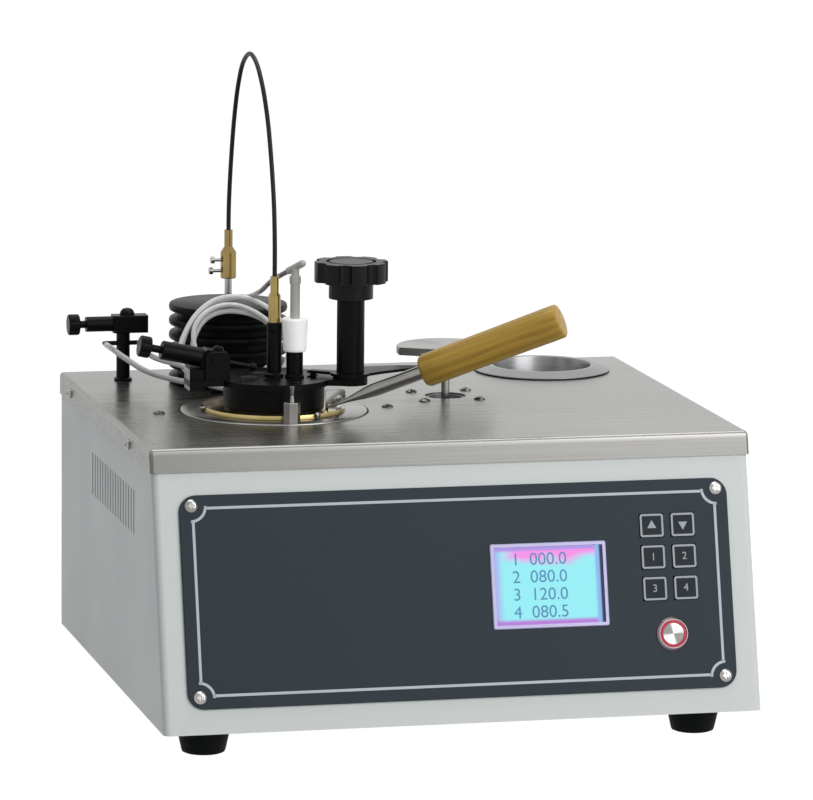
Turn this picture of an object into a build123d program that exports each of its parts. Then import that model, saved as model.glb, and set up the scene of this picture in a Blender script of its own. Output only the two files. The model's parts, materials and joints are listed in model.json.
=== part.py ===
"""Closed-cup flash point tester: a bench cabinet with a heated cup, a lid with stirrer,
shutter and test flame, a cooling well, and a motor that works the shutter.

Millimetres, +Z up. The origin is on the bench, in the middle of the footprint.
+X is to the operator's right and +Y goes from the operator to the back.
"""
from build123d import *
import math
import os

# ---------------------------------------------------------------- driving dimensions
# cabinet
body_width = 428.0
body_height = 190.8
body_depth = 339.0          # at the top, from front edge to back
front_lean = 50.9           # how far the front's foot stands ahead of its top edge
sheet = 1.5
corner_radius = 5.0
cover_sheet = 1.2
cover_skirt = 16.0          # height of the cover's rolled-down edge
foot_height = 22.0
foot_top_radius = 19.5
foot_base_radius = 15.5
foot_side_inset = 37.0      # from the body's side to the feet's axes
foot_front_back = 46.0      # from the body's lower front edge to the front feet
foot_rear_inset = 40.0
vent_count = 17
vent_pitch = 9.6
vent_width = 3.2
vent_height = 31.0
vent_top_drop = 39.0
vent_front_back = 59.0
gas_inlet_reach = 18.0
gas_edge_inset = 64.0       # from the body's left side to the gas connector
gas_rise = 45.0             # above the body's floor
gas_thread_radius = 5.0
inlet_edge_inset = 94.0     # from the body's right side to the mains socket
inlet_rise = 45.0
inlet_width = 27.5
inlet_height = 20.0
transformer_share = 0.222   # of the body's width, from the middle
transformer_back = 150.0

# control panel, measured down the sloping front
panel_side_margin = 17.5
panel_foot_margin = 17.3
panel_thick = 2.0
panel_top_drop = 32.6
panel_corner = 12.0
panel_screw_inset = 8.4     # from the panel's side edge
panel_screw_rise = 132.0
panel_screw_drop = 40.0
display_width = 83.8
display_height = 59.5
display_inset = 174.5       # from the panel's right edge to the display's left edge
display_drop = 74.1
display_border = 2.6
display_proud = 1.2
key_width = 17.1
key_height = 16.4
key_corner = 2.2
key_proud = 1.0
key_insets = (56.5, 33.9)   # from the panel's right edge
key_first_drop = 64.8
key_pitch = 22.2
key_travel = 0.8
power_inset = 45.2          # from the panel's right edge
power_drop = 141.2
power_bezel_radius = 11.8
power_bezel_proud = 2.4
power_ring_radius = 9.2
power_cap_radius = 7.9
power_cap_proud = 2.0
power_travel = 2.5
board_gap = 20.0
board_thick = 1.6
board_overlap = 14.0        # past the display's left edge
board_inset = 16.5          # from the panel's right edge
board_top_drop = 52.0
board_bottom_drop = 176.0
switch_height = 9.0

# cup and heater, about the cup's axis
cup_x = -95.2
cup_back = 144.4
cup_bore_radius = 25.4
cup_depth = 56.0
cup_wall = 2.6
cup_neck_rise = 18.0
flange_radius = 51.3
flange_thick = 3.5
flange_screw_turns = (180.0, -66.0)
flange_head_radius = 2.4
flange_head_proud = 3.0
flange_shank_radius = 0.8
ring_radius = 67.0
ring_proud = 0.8
ring_thick = 4.0
vessel_wall = 9.0
vessel_air_gap = 4.0
heater_thick = 7.0
heater_height = 34.0
stud_forward = 59.3
stud_across_flats = 10.4
stud_height = 15.4
stud_pin_rise = 27.0
stud_thread_radius = 2.5
vessel_screw_reach = 83.8

# cup handle
handle_turn = -26.0         # degrees from +X, seen from above
handle_rise = 22.5          # degrees above level
handle_start_dx = 34.4      # from the cup's axis
handle_start_forward = 32.6
handle_start_rise = 7.35
tongue_length = 6.0
tongue_width = 5.5
ferrule_length = 72.5
ferrule_radius = 4.95
ferrule_tip_width = 8.2
ferrule_tip_thick = 2.4
ferrule_taper = (           # distance from the bracket, half width, half thickness
    (16.7, 6.0, 2.4),
    (24.6, 5.8, 3.6),
    (32.5, 5.2, 4.6),
)
ferrule_round_from = 40.0
grip_length = 107.0
grip_radius = 11.8
grip_middle_radius = 12.0
grip_far_radius = 12.5
grip_near_edge = 2.6
grip_far_edge = 1.5
bracket_width = 14.2
bracket_height = 13.7
bracket_sheet = 1.6
bracket_foot = 8.0
bracket_dx = 38.9
bracket_forward = 27.2      # of the cup's axis
clamp_share = 0.47          # of the bracket's height
clamp_dx = 1.4              # right of the bracket's middle
clamp_radius = 3.8
clamp_proud = 1.4

# lid
lid_rim_radius = 36.3
lid_plate_radius = 41.0
lid_plate_bottom = 20.2
lid_plate_top = 24.4
port_radius = 4.0
port_mouth_radius = 7.0
port_reach = 17.5
port_angles = (180.0, 110.0, 250.0)
shutter_radius = 32.0
shutter_thick = 1.3
shutter_room = 1.4          # height of the recess under the guard
shutter_turn_deg = 29.4     # from closed to open, clockwise seen from above
guard_radius = 36.0
guard_thick = 1.0
guard_screw_reach = 33.6
guard_screw_turns = (27.5, 145.0, 215.0, 285.0)
guard_head_radius = 2.2
guard_head_proud = 1.2
hub_radius = 3.4
boss_wall = 1.2
column_radius = 5.4
column_top = 63.6
spindle_radius = 1.5
stirrer_blade_reach = 15.5
stirrer_blade_drop = 26.0   # below the cover
flex_radius = 1.65
spindle_rise = 12.0         # of the spindle above its column
spindle_coupling_radius = 4.4
spindle_neck_radius = 3.1
spindle_body_top = 83.0
spindle_coupling_top = 97.0
sensor_dx = 13.5
sensor_forward = 7.0
guide_radius = 6.0
guide_top = 43.7
ferrule_low_radius = 7.9
ferrule_high_radius = 9.4
ferrule_top = 67.4
probe_radius = 3.5
probe_tip_drop = 17.0
probe_collar_top = 98.0
probe_head_top = 104.0
probe_head_half = 7.5
probe_head_radius = 2.6
lead_way = (-0.50, 0.68, -0.43)

# shutter drive
knob_dx = 52.2              # of the knob column from the cup's axis
knob_forward = 16.4
knob_column_radius = 9.9
knob_flare_radius = 12.4
knob_hub_radius = 15.9
knob_hub_bottom = 82.3
star_bottom = 94.3
star_top = 108.8
star_radius = 26.3
star_lobes = 8
star_notch_radius = 5.2
pivot_radius = 4.0
lever_bottom = 26.6
lever_thick = 2.0
lever_reach = 61.0
lever_turn = 18.0           # degrees from +X
lever_tip_half = 2.8
lever_front = ((4.4, -11.7), (20.3, -7.6), (38.9, -4.8))    # along and across the lever
lever_back = ((44.7, 11.5), (34.0, 14.7), (23.9, 17.5))
lever_pin_radius = 2.5
crank_reach = 28.0
crank_turn = 147.6
crank_pin_radius = 2.2
slot_margin_deg = 7.5
knob_travel_deg = 30.0
disc_x = 41.7
disc_back = 184.3
disc_radius = 36.0
disc_bottom = 31.2
disc_thick = 5.7
disc_flat_reach = 20.5
disc_flat_turn = 240.0
disc_spindle_radius = 3.0
disc_hole_radius = 15.0
finger_turn = 241.3
finger_reach = 47.5
finger_radius = 1.7
motor_hole_pitch = 41.0
motor_body = 52.0
motor_body_height = 46.0

# test flame
burner_tilt = 12.1          # degrees, nose down
burner_pivot_dx = -45.8     # from the cup's axis
burner_pivot_rise = 38.1
burner_barrel_radius = 6.8
burner_block_half = 7.2
burner_nose = 34.0          # pivot to nozzle tip
burner_tail = 37.5          # pivot to the barrel's free end
burner_knob_reach = 54.0
knob_wheel_radius = 7.7
knob_wheel_thick = 8.4
knob_groove_count = 14
neck_radius = 2.75
burner_hole_depth = 12.0
arm_left = -64.0            # of the lid's left arm, from the cup's axis
arm_right = -28.0
arm_half = 12.0
gas_block_left = -63.2
gas_block_right = -52.5
gas_block_half = 9.0
gas_block_bottom = 16.6
gas_block_drop = 7.7        # of its top under the burner's axis
mount_left = -6.3           # from the burner's pivot
mount_right = 11.5
mount_half = 10.6
mount_cheek = 3.0
mount_crown = 6.5
mount_corner = 4.0
hose_end_rises = (19.5, 29.8)
hose_end_dx = -58.4
nipple_radius = 2.6
nipple_length = 2.5

# stirrer drive
motor_x = -100.8
motor_back = 276.0
housing_radius = 43.7
housing_core_radius = 37.5
housing_wall = 4.0
fin_count = 6
fin_thick = 5.4
fin_pitch = 10.5
fin_foot = 0.8
fin_edge = 1.4
stirrer_motor_radius = 27.0
motor_shaft_radius = 2.7
motor_coupling_radius = 5.85
motor_coupling_bottom = 77.0
motor_coupling_top = 112.8
motor_coupling_nose = 3.1
motor_coupling_shoulder = (96.2, 100.4)
motor_coupling_bore_top = 94.0
motor_shaft_foot = 8.2
motor_shaft_top = 93.5
thumb_screw_rises = (82.5, 90.5)
thumb_screw_reaches = (8.6, 7.4)
thumb_head_radius = 2.6
thumb_shank_radius = 1.25

# gas needle valve on its post
post_x = -176.0
post_back = 293.9
post_radius = 5.0
post_height = 35.8
valve_block_width = 25.6
valve_right_dx = 17.6       # from the post's axis to the block's right end
valve_block_height = 13.0
valve_block_depth = 13.0
valve_barrel_radius = 5.6
valve_barrel_length = 20.0
valve_knob_gap = 5.0
cross_tube_rise = 27.8
cross_tube_radius = 1.7
cross_tube_ends = (-14.0, 11.0)
cross_tube_bend = 7.0
hose_radius = 2.1

# sensor lead
lead_radius = 1.85
coil_dx = -20.8
coil_back = 219.0
coil_rise = 38.6
coil_half_width = 5.2
coil_edge = 1.4
coil_lean = 18.0            # degrees, top towards the back
coil_outline = (            # the outermost strand, across and up the coil's plane
    (-30.7, 1.3), (-24.3, 14.0), (-15.6, 24.1), (-4.1, 30.5), (11.0, 33.0), (23.5, 30.1), (32.9, 24.7),
    (42.0, 15.6), (47.2, 2.9), (47.8, -11.2), (42.5, -23.0), (31.0, -32.4), (14.0, -36.1),
    (-2.0, -34.2), (-16.0, -30.6), (-29.0, -23.6), (-35.0, -11.6),
)
coil_hole = (               # the innermost strand
    (-20.4, 5.5), (-17.0, 12.7), (-11.5, 18.1), (-4.6, 21.3), (2.9, 22.2), (10.3, 21.6), (17.7, 20.3),
    (25.0, 18.6), (32.6, 14.4), (37.8, 6.0), (39.0, -5.0), (36.0, -14.8), (27.6, -22.4),
    (14.0, -26.0), (-1.0, -24.6), (-14.0, -20.6), (-22.6, -12.6), (-23.6, -3.0),
)
gland_dx = -24.8
gland_back = 226.0
gland_height = 7.0

# cooling well
well_x = 142.3
well_back = 287.0
well_flange_radius = 51.2
well_lip_radius = 40.0
well_bore_radius = 36.5
well_rise = 4.4
well_depth = 62.0
well_wall = 2.0

# screws
cover_screw_radius = 3.5
cover_screw_proud = 2.4
cover_screw_drop = 8.9
cover_screw_backs = (72.0, 294.0)
panel_head_radius = 4.45
panel_head_proud = 2.2
deck_head_radius = 4.2
deck_head_proud = 1.8
small_head_radius = 2.9

# clearances
running_fit = 0.05
slide_gap = 0.3
key_gap = 0.35
seat_gap = 0.2
hole_gap = 1.0
lever_play = 0.9

# ---------------------------------------------------------------- derived places
rear_reach = body_depth + gas_inlet_reach
front_y = (front_lean - rear_reach) / 2
wall_y = front_y + body_depth
deck = foot_height + body_height
cover_half = body_width / 2 + cover_sheet
lean_deg = math.degrees(math.atan2(front_lean, body_height))
slope_length = math.hypot(front_lean, body_height)
panel_width = body_width - 2 * panel_side_margin
panel_height = slope_length - panel_top_drop - panel_foot_margin
panel_right = panel_width / 2
display_left = panel_right - display_inset
key_columns = tuple(panel_right - inset for inset in key_insets)
power_x = panel_right - power_inset
board_left = display_left - board_overlap
board_right = panel_right - board_inset
inlet_x = body_width / 2 - inlet_edge_inset
inlet_z = foot_height + inlet_rise
gas_x = gas_edge_inset - body_width / 2
gas_z = foot_height + gas_rise
cup_y = front_y + cup_back
cup_outer_radius = cup_bore_radius + cup_wall
vessel_bore_radius = cup_outer_radius + vessel_air_gap
vessel_radius = vessel_bore_radius + vessel_wall
flange_top = ring_proud + flange_thick
knob_x = cup_x + knob_dx
knob_y = cup_y - knob_forward
disc_y = front_y + disc_back
motor_y = front_y + motor_back
post_y = front_y + post_back
well_y = front_y + well_back
sensor_x = cup_x + sensor_dx
sensor_y = cup_y - sensor_forward
coil_x = cup_x + coil_dx
coil_y = front_y + coil_back
gland_x = cup_x + gland_dx
gland_y = front_y + gland_back
burner_x = cup_x + burner_pivot_dx
burner_z = deck + burner_pivot_rise
valve_z = deck + post_height + valve_block_height / 2
valve_left = post_x + valve_right_dx - valve_block_width
housing_top = fin_foot + (fin_count - 1) * fin_pitch + fin_thick
front = Plane(
    origin=(0, front_y, deck),
    x_dir=(1, 0, 0),
    z_dir=(0, -math.cos(math.radians(lean_deg)), math.sin(math.radians(lean_deg))),
)


# ---------------------------------------------------------------- shape helpers
STANDING = (Align.CENTER, Align.CENTER, Align.MIN)


def rod(radius, bottom, top, x=0.0, y=0.0):
    """An upright cylinder from height bottom to height top."""
    return Pos(x, y, bottom) * Cylinder(radius, top - bottom, align=STANDING)


def tube(outer, inner, bottom, top, x=0.0, y=0.0):
    """An upright tube."""
    return rod(outer, bottom, top, x, y) - rod(inner, bottom - 1, top + 1, x, y)


def block(x0, x1, y0, y1, z0, z1):
    """A box between two corners."""
    return Pos((x0 + x1) / 2, (y0 + y1) / 2, (z0 + z1) / 2) * Box(x1 - x0, y1 - y0, z1 - z0)


def turned(profile, x=0.0, y=0.0, z=0.0):
    """A solid turned about an upright axis from (radius, height) points."""
    face = make_face(Polyline(*[(r, 0, h) for r, h in profile], close=True))
    return Pos(x, y, z) * revolve(face, Axis.Z)


def across(radius, x0, x1, y, z):
    """A cylinder along X."""
    return Pos(x0, y, z) * Rot(0, 90, 0) * Cylinder(radius, x1 - x0, align=STANDING)


def outward(radius, y0, y1, x, z):
    """A cylinder along Y."""
    return Pos(x, y0, z) * Rot(-90, 0, 0) * Cylinder(radius, y1 - y0, align=STANDING)


def on_front(x, drop, height=0.0):
    """A place on the sloping front: x across, drop down the slope, height out of it."""
    return front * Pos(x, -drop, height)


def bevel_box(width, height, thick, corner, edge):
    """A plate with round corners and a broken upper edge, its back at height 0."""
    plate = extrude(RectangleRounded(width, height, corner), thick)
    return chamfer(plate.faces().sort_by(Axis.Z)[-1].edges(), edge)


def pan_head(radius, proud, shank_radius, shank_length, slot=False):
    """A screw seated at height 0 with a domed head and a cross recess, or a straight slot."""
    head = turned([
        (0, 0), (radius, 0), (radius, 0.35 * proud), (0.72 * radius, 0.85 * proud), (0.4 * radius, proud),
        (0, proud),
    ])
    screw = head + rod(shank_radius, -shank_length, 0.01)
    width = 0.26 * radius
    drive = Box(2.2 * radius if slot else 1.1 * radius, width, proud)
    if not slot:
        drive += Box(width, 1.1 * radius, proud)
    return screw - Pos(0, 0, proud) * drive


def corner_radii(points):
    """The fillet radius at each inner point of a route: 0.45 of the shorter run over tan(half turn)."""
    radii = []
    for before, here, after in zip(points, points[1:], points[2:]):
        a = Vector(*here) - Vector(*before)
        b = Vector(*after) - Vector(*here)
        half = math.radians(a.get_angle(b)) / 2
        radii.append(0.45 * min(a.length, b.length) / math.tan(half))
    return radii


def tube_along(name, points, radius):
    """A round tube along straight runs joined by tangent arcs."""
    radii = corner_radii(points)
    path = FilletPolyline(*points, radius=radii)
    start = Plane(origin=points[0], z_dir=Vector(*points[1]) - Vector(*points[0]))
    made = sweep(start * Circle(radius), path=path)
    expected = math.pi * radius**2 * path.length
    sizes = f"length {path.length:.1f}, least radius {min(radii):.1f}"
    print(f"{name}: {sizes}, volume ratio {made.volume / expected:.4f}")
    return made


# ---------------------------------------------------------------- cabinet
def side_profile(inset, bottom_lift=0.0, top_drop=0.0):
    """The cabinet's side outline, moved in by inset at the front and back."""
    low, high = foot_height + bottom_lift, deck - top_drop
    slope = front_lean / body_height
    ahead = inset / math.cos(math.radians(lean_deg))
    y_low = front_y - front_lean + (low - foot_height) * slope + ahead
    y_high = front_y - (deck - high) * slope + ahead
    y_back = wall_y - inset
    corners = [(0, y_low, low), (0, y_high, high), (0, y_back, high), (0, y_back, low)]
    return make_face(Polyline(*corners, close=True))


def prism(profile, half_width):
    """A side outline pulled out to both sides."""
    return extrude(profile, half_width, dir=(1, 0, 0), both=True)


def front_corners(solid, radius):
    """Rounds the two long edges where the front meets the sides."""
    def along_slope(edge):
        size = edge.bounding_box().size
        ahead = edge.center().Y < front_y + 5 and abs(edge.center().X) > 0.4 * body_width
        return ahead and size.Z > 50 and abs(edge.length - size.Z) > 1

    return fillet(solid.edges().filter_by(along_slope), radius)


def front_openings():
    """What the front sheet and the panel both leave open: display, keys and button."""
    cuts = on_front(display_left + display_width / 2, display_drop + display_height / 2) * Box(
        display_width - 2 * display_border, display_height - 2 * display_border, 40
    )
    for x, drop in key_places():
        cuts += on_front(x, drop) * Box(key_width + 2 * key_gap, key_height + 2 * key_gap, 40)
    cuts += on_front(power_x, power_drop) * Cylinder(power_ring_radius + running_fit, 40)
    return cuts


def key_places():
    """The centres of the six keys, row by row, as (x, drop)."""
    return [(x, key_first_drop + row * key_pitch) for row in range(3) for x in key_columns]


def vents(x_low, x_high):
    """The slots that let heat out of one side."""
    z_high = deck - vent_top_drop
    cuts = [
        block(x_low, x_high, y - vent_width / 2, y + vent_width / 2, z_high - vent_height, z_high)
        for y in (front_y + vent_front_back + i * vent_pitch for i in range(vent_count))
    ]
    return Part() + cuts


def panel_screw_places():
    """The four panel screws, as (x, drop)."""
    half = panel_right - panel_screw_inset
    return [(x, panel_screw_drop + d) for x in (-half, half) for d in (0, panel_screw_rise)]


def cabinet_body():
    """The painted wrap: sloping front and two sides in one folded sheet."""
    outer = front_corners(prism(side_profile(0, 0, cover_sheet), body_width / 2), corner_radius)
    inner = front_corners(prism(side_profile(sheet, -1, -1), body_width / 2 - sheet), corner_radius - sheet)
    behind = block(-body_width, body_width, wall_y - sheet, wall_y + 50, 0, 2 * deck)
    wrap = outer - inner - behind - front_openings()
    for side in (-1, 1):
        x_wall = side * body_width / 2
        wrap -= vents(x_wall - 2 * sheet, x_wall + 2 * sheet)
        for back in cover_screw_backs:
            wrap -= across(1.6, x_wall - 3, x_wall + 3, front_y + back, deck - cover_screw_drop)
    for x, drop in panel_screw_places():
        wrap -= on_front(x, drop) * Cylinder(1.6, 10)
    return wrap


def chassis():
    """The floor and back wall in one folded sheet, with holes for the two inlets."""
    half = body_width / 2 - sheet
    inside = front_corners(prism(side_profile(sheet, -1, -1), half), corner_radius - sheet)
    floor = inside & block(-half, half, -body_depth, body_depth, foot_height, foot_height + sheet)
    for x, y in foot_places():
        floor -= rod(2.2, foot_height - 5, foot_height + 5, x, y)
    wall = block(-half, half, wall_y - sheet, wall_y, foot_height, deck - cover_sheet)
    wall -= Pos(inlet_x, wall_y, inlet_z) * Box(inlet_width, 4 * sheet, inlet_height)
    wall -= outward(gas_thread_radius, wall_y - 5, wall_y + 5, gas_x, gas_z)
    high = deck - vent_top_drop
    slots = [
        block(x - vent_width / 2, x + vent_width / 2, wall_y - 5, wall_y + 5, high - vent_height, high)
        for x in (-vent_pitch * (i + 1) for i in range(vent_count // 2))
    ]
    return floor + wall - (Part() + slots)


def top_cover():
    """The brushed steel cover with its rolled-down skirt, cut for all that stands in it."""
    skirt = prism(side_profile(-cover_sheet, body_height - cover_skirt, 0), cover_half)
    soft = fillet(skirt.faces().sort_by(Axis.Z)[-1].edges(), 3.0)
    sizes = [(edge, edge.bounding_box().size) for edge in soft.edges()]
    soft = fillet([edge for edge, size in sizes if size.Z > 0.6 * cover_skirt and size.X < 0.5], 2.5)
    hollow = prism(side_profile(0, body_height - cover_skirt - 5, cover_sheet), body_width / 2)
    cover = soft - hollow
    cover -= rod(ring_radius + slide_gap, deck - 5, deck + 5, cup_x, cup_y)
    cover -= rod(well_bore_radius + well_wall + slide_gap, deck - 5, deck + 5, well_x, well_y)
    cover -= rod(disc_hole_radius, deck - 5, deck + 5, disc_x, disc_y)
    cover -= rod(lead_radius + hole_gap, deck - 5, deck + 5, gland_x, gland_y)
    for x, y in deck_screw_places():
        cover -= rod(1.6, deck - 5, deck + 5, x, y)
    for side in (-1, 1):
        for back in cover_screw_backs:
            x_wall = side * cover_half
            cover -= across(1.6, x_wall - 5, x_wall + 5, front_y + back, deck - cover_screw_drop)
    return cover


def foot_places():
    """The four feet, as (x, y)."""
    front_row = front_y - front_lean + foot_front_back
    rear_row = wall_y - foot_rear_inset
    half = body_width / 2 - foot_side_inset
    return [(x, y) for x in (-half, half) for y in (front_row, rear_row)]


def rubber_feet():
    """Four tapered rubber feet with a screw well in the sole."""
    edge = 2.0
    foot = turned([
        (0, 5), (5.5, 5), (5.5, 0), (foot_base_radius - edge, 0), (foot_base_radius, edge),
        (foot_top_radius, foot_height - edge), (foot_top_radius - 0.6, foot_height), (2.2, foot_height),
        (2.2, 9), (0, 9),
    ])
    return Part() + [Pos(x, y, 0) * foot for x, y in foot_places()]


def cover_screws():
    """The four pan-head screws through the cover's skirt."""
    screw = pan_head(cover_screw_radius, cover_screw_proud, 1.5, cover_sheet + sheet + 3)
    made = []
    for side in (-1, 1):
        for back in cover_screw_backs:
            place = Pos(side * cover_half, front_y + back, deck - cover_screw_drop)
            made.append(place * Rot(0, side * 90, 0) * screw)
    return Part() + made


# ---------------------------------------------------------------- control panel
def control_panel():
    """The dark front plate, with the openings for display, keys and button."""
    plate = on_front(0, panel_top_drop + panel_height / 2) * bevel_box(
        panel_width, panel_height, panel_thick, panel_corner, 0.4
    )
    plate -= front_openings()
    for x, drop in panel_screw_places():
        plate -= on_front(x, drop) * Cylinder(1.6, 10)
    return plate


def panel_screws():
    """Four cross-slot screws that hold the panel."""
    screw = pan_head(panel_head_radius, panel_head_proud, 1.5, panel_thick + sheet + 5)
    return Part() + [on_front(x, drop, panel_thick) * screw for x, drop in panel_screw_places()]


def display_centre():
    """The display's middle, as (x, drop)."""
    return display_left + display_width / 2, display_drop + display_height / 2


def display_frame():
    """The silver bezel round the display."""
    x, drop = display_centre()
    outer = bevel_box(display_width, display_height, display_proud, 1.6, 0.5)
    window = Box(display_width - 2 * display_border, display_height - 2 * display_border, 20)
    return on_front(x, drop, panel_thick) * (outer - window)


def display_glass():
    """The liquid-crystal module behind the bezel."""
    x, drop = display_centre()
    width = display_width - 2 * display_border - 2 * seat_gap
    height = display_height - 2 * display_border - 2 * seat_gap
    return on_front(x, drop, -6) * Box(width, height, 6 + panel_thick + 0.4, align=STANDING)


def key(x, drop):
    """One key: a cap with a broken edge and a stem that reaches the board."""
    cap = Pos(0, 0, -sheet) * bevel_box(key_width, key_height, sheet + panel_thick + key_proud, key_corner, 0.5)
    stem = rod(2.5, -board_gap + switch_height + key_travel + 0.2, -sheet)
    return on_front(x, drop) * (cap + stem)


def power_bezel():
    """The push button's steel collar, its thread and body."""
    collar = turned([
        (power_ring_radius + 0.6, 0), (power_bezel_radius, 0), (power_bezel_radius, 0.8),
        (power_bezel_radius - 1.4, power_bezel_proud), (power_ring_radius + 0.6, power_bezel_proud),
    ])
    sleeve = tube(power_ring_radius, power_ring_radius - 1.0, -22, 0.1)
    lip = tube(power_ring_radius + 0.8, power_ring_radius - 1.0, 0, power_bezel_proud - 1.4)
    back = rod(power_ring_radius, -30, -21)
    return on_front(power_x, power_drop, panel_thick) * (collar + sleeve + lip + back)


def power_cap():
    """The moving cap of the push button."""
    r = power_cap_radius
    body = turned([
        (0, -12), (r - 0.6, -12), (r - 0.6, -1.0), (r, -1.0), (r, power_cap_proud - 0.5),
        (r - 0.5, power_cap_proud), (0, power_cap_proud),
    ])
    return on_front(power_x, power_drop, panel_thick) * body


def control_board():
    """The circuit board behind the panel, on four pillars, with one switch under each key."""
    x_mid, drop_mid = (board_left + board_right) / 2, (board_top_drop + board_bottom_drop) / 2
    card = Pos(x_mid, -drop_mid, -board_gap - board_thick / 2) * Box(
        board_right - board_left, board_bottom_drop - board_top_drop, board_thick
    )
    card -= Pos(power_x, -power_drop, -board_gap) * Cylinder(power_ring_radius + 2, 10)
    for x in (board_left + 5, board_right - 5):
        for drop in (board_top_drop + 4, board_bottom_drop - 4):
            card += Pos(x, -drop) * rod(3, -board_gap, -sheet)
    for x, drop in key_places():
        card += Pos(x, -drop, -board_gap) * Box(6, 6, switch_height, align=STANDING)
    x, drop = display_centre()
    card += Pos(x, -drop, -board_gap) * Box(50, 30, board_gap - 6, align=STANDING)
    low = board_bottom_drop - 16
    chips = ((22, low, 26, 12), (67, low, 18, 18), (107, low - 5, 22, 30))
    for dx, chip_drop, wide, high in chips:
        card += Pos(board_left + dx, -chip_drop, -board_gap - board_thick - 3) * Box(wide, high, 6)
    return front * card


# ---------------------------------------------------------------- services
def power_inlet():
    """The three-pin mains socket in the back panel."""
    x, z = inlet_x, inlet_z
    half, high = inlet_width / 2 - seat_gap, inlet_height / 2 - seat_gap
    body = block(x - half, x + half, wall_y - 22, wall_y + 0.1, z - high, z + high)
    flange = block(x - 24, x + 24, wall_y, wall_y + 3, z - 12.5, z + 12.5)
    flange = fillet(flange.edges().filter_by(Axis.Y), 3)
    shell = body + flange - block(x - 12, x + 12, wall_y - 14, wall_y + 5, z - 8.2, z + 8.2)
    for dx, dz in ((-7, -1.5), (7, -1.5), (0, 2.5)):
        shell += block(x + dx - 1, x + dx + 1, wall_y - 15, wall_y - 3, z + dz - 2, z + dz + 2)
    for dx in (-20, 20):
        shell -= outward(1.7, wall_y - 1, wall_y + 4, x + dx, z)
    return shell


def gas_inlet():
    """The brass connector for the gas supply, with a barbed tail and two nuts."""
    hexagon = Pos(gas_x, wall_y, gas_z) * Rot(-90, 0, 0) * extrude(RegularPolygon(8, 6), 5)
    nut = Pos(gas_x, wall_y - sheet - 4, gas_z) * Rot(-90, 0, 0) * extrude(RegularPolygon(8, 6), 4)
    body = outward(gas_thread_radius - 0.1, wall_y - 20, wall_y + 5, gas_x, gas_z)
    length = (gas_inlet_reach - 5) / 3
    barbs = [
        Pos(gas_x, wall_y + 5 + i * length, gas_z) * Rot(-90, 0, 0) * Cone(3.6, 2.6, length, align=STANDING)
        for i in range(3)
    ]
    bore = outward(1.5, wall_y - 21, wall_y + gas_inlet_reach + 1, gas_x, gas_z)
    return hexagon + nut + body + barbs - bore


def transformer():
    """The mains transformer: a laminated core round a wound bobbin, on two feet."""
    x, y, z = transformer_share * body_width, front_y + transformer_back, foot_height + sheet
    core = block(x - 38, x + 38, y - 20, y + 20, z + 2, z + 64)
    winding = block(x - 22, x + 22, y - 32, y + 32, z + 14, z + 52)
    winding = fillet(winding.edges().filter_by(Axis.Z), 5)
    feet = block(x - 38, x + 38, y - 30, y + 30, z, z + 2)
    return core + winding + feet


# ---------------------------------------------------------------- heater and cup
def deck_screw_places():
    """Screws in the cover: two for the heater, four for the shutter motor."""
    half = motor_hole_pitch / 2
    motor = [(disc_x + i * half, disc_y + j * half) for i in (-1, 1) for j in (-1, 1)]
    return [(cup_x - vessel_screw_reach, cup_y), (cup_x + vessel_screw_reach, cup_y)] + motor


def deck_screws():
    """The cross-slot screws that stand in the cover."""
    screw = pan_head(deck_head_radius, deck_head_proud, 1.5, cover_sheet + 6)
    return Part() + [Pos(x, y, deck) * screw for x, y in deck_screw_places()]


def heater_vessel():
    """The iron heating vessel, hung under the cover on a cross bar."""
    top = deck - cover_sheet
    floor = deck - cup_depth + cup_neck_rise - cup_wall - 8
    shell = rod(vessel_radius, floor - 6, top, cup_x, cup_y)
    shell -= rod(vessel_bore_radius, floor, top + 1, cup_x, cup_y)
    reach = vessel_screw_reach + 10
    bar = block(cup_x - reach, cup_x + reach, cup_y - 15, cup_y + 15, top - 3, top)
    bar -= rod(ring_radius - 2, top - 10, top + 1, cup_x, cup_y)
    lip = tube(ring_radius + 4, vessel_bore_radius, top - 6, top - 3, cup_x, cup_y)
    web = tube(ring_radius + 4, ring_radius + slide_gap, top - 3, top, cup_x, cup_y)
    vessel = shell + bar + lip + web
    vessel -= rod(ring_radius, deck - ring_thick + ring_proud, deck + 5, cup_x, cup_y)
    for side in (-1, 1):
        vessel -= rod(1.6, top - 10, top + 1, cup_x + side * vessel_screw_reach, cup_y)
    return vessel


def heater_element():
    """The ceramic heating jacket round the vessel."""
    top = deck - cover_sheet - 9
    return tube(vessel_radius + heater_thick, vessel_radius, top - heater_height, top, cup_x, cup_y)


def vessel_ring():
    """The steel ring that closes the vessel's top, level with the cover."""
    bottom, top = deck - ring_thick + ring_proud, deck + ring_proud
    ring = turned([
        (vessel_bore_radius, bottom), (ring_radius, bottom), (ring_radius, top - 0.6), (ring_radius - 0.6, top),
        (vessel_bore_radius, top),
    ], cup_x, cup_y)
    return ring - rod(stud_thread_radius + running_fit, bottom - 1, top + 1, cup_x, cup_y - stud_forward)


def locating_stud():
    """The hexagonal stud with a waisted pin in front of the cup."""
    hex_height, pin_height = stud_height - ring_proud, stud_pin_rise - ring_proud
    hexagon = extrude(RegularPolygon(stud_across_flats / 2, 6, major_radius=False), hex_height)
    hexagon = chamfer(hexagon.faces().sort_by(Axis.Z)[-1].edges(), 0.5)
    pin = turned([
        (0, hex_height), (1.7, hex_height), (1.15, hex_height + 4.8), (1.9, pin_height - 0.7),
        (1.9, pin_height), (0, pin_height),
    ])
    thread = rod(stud_thread_radius, -ring_thick, 0)
    return Pos(cup_x, cup_y - stud_forward, deck + ring_proud) * (hexagon + pin + thread)


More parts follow.
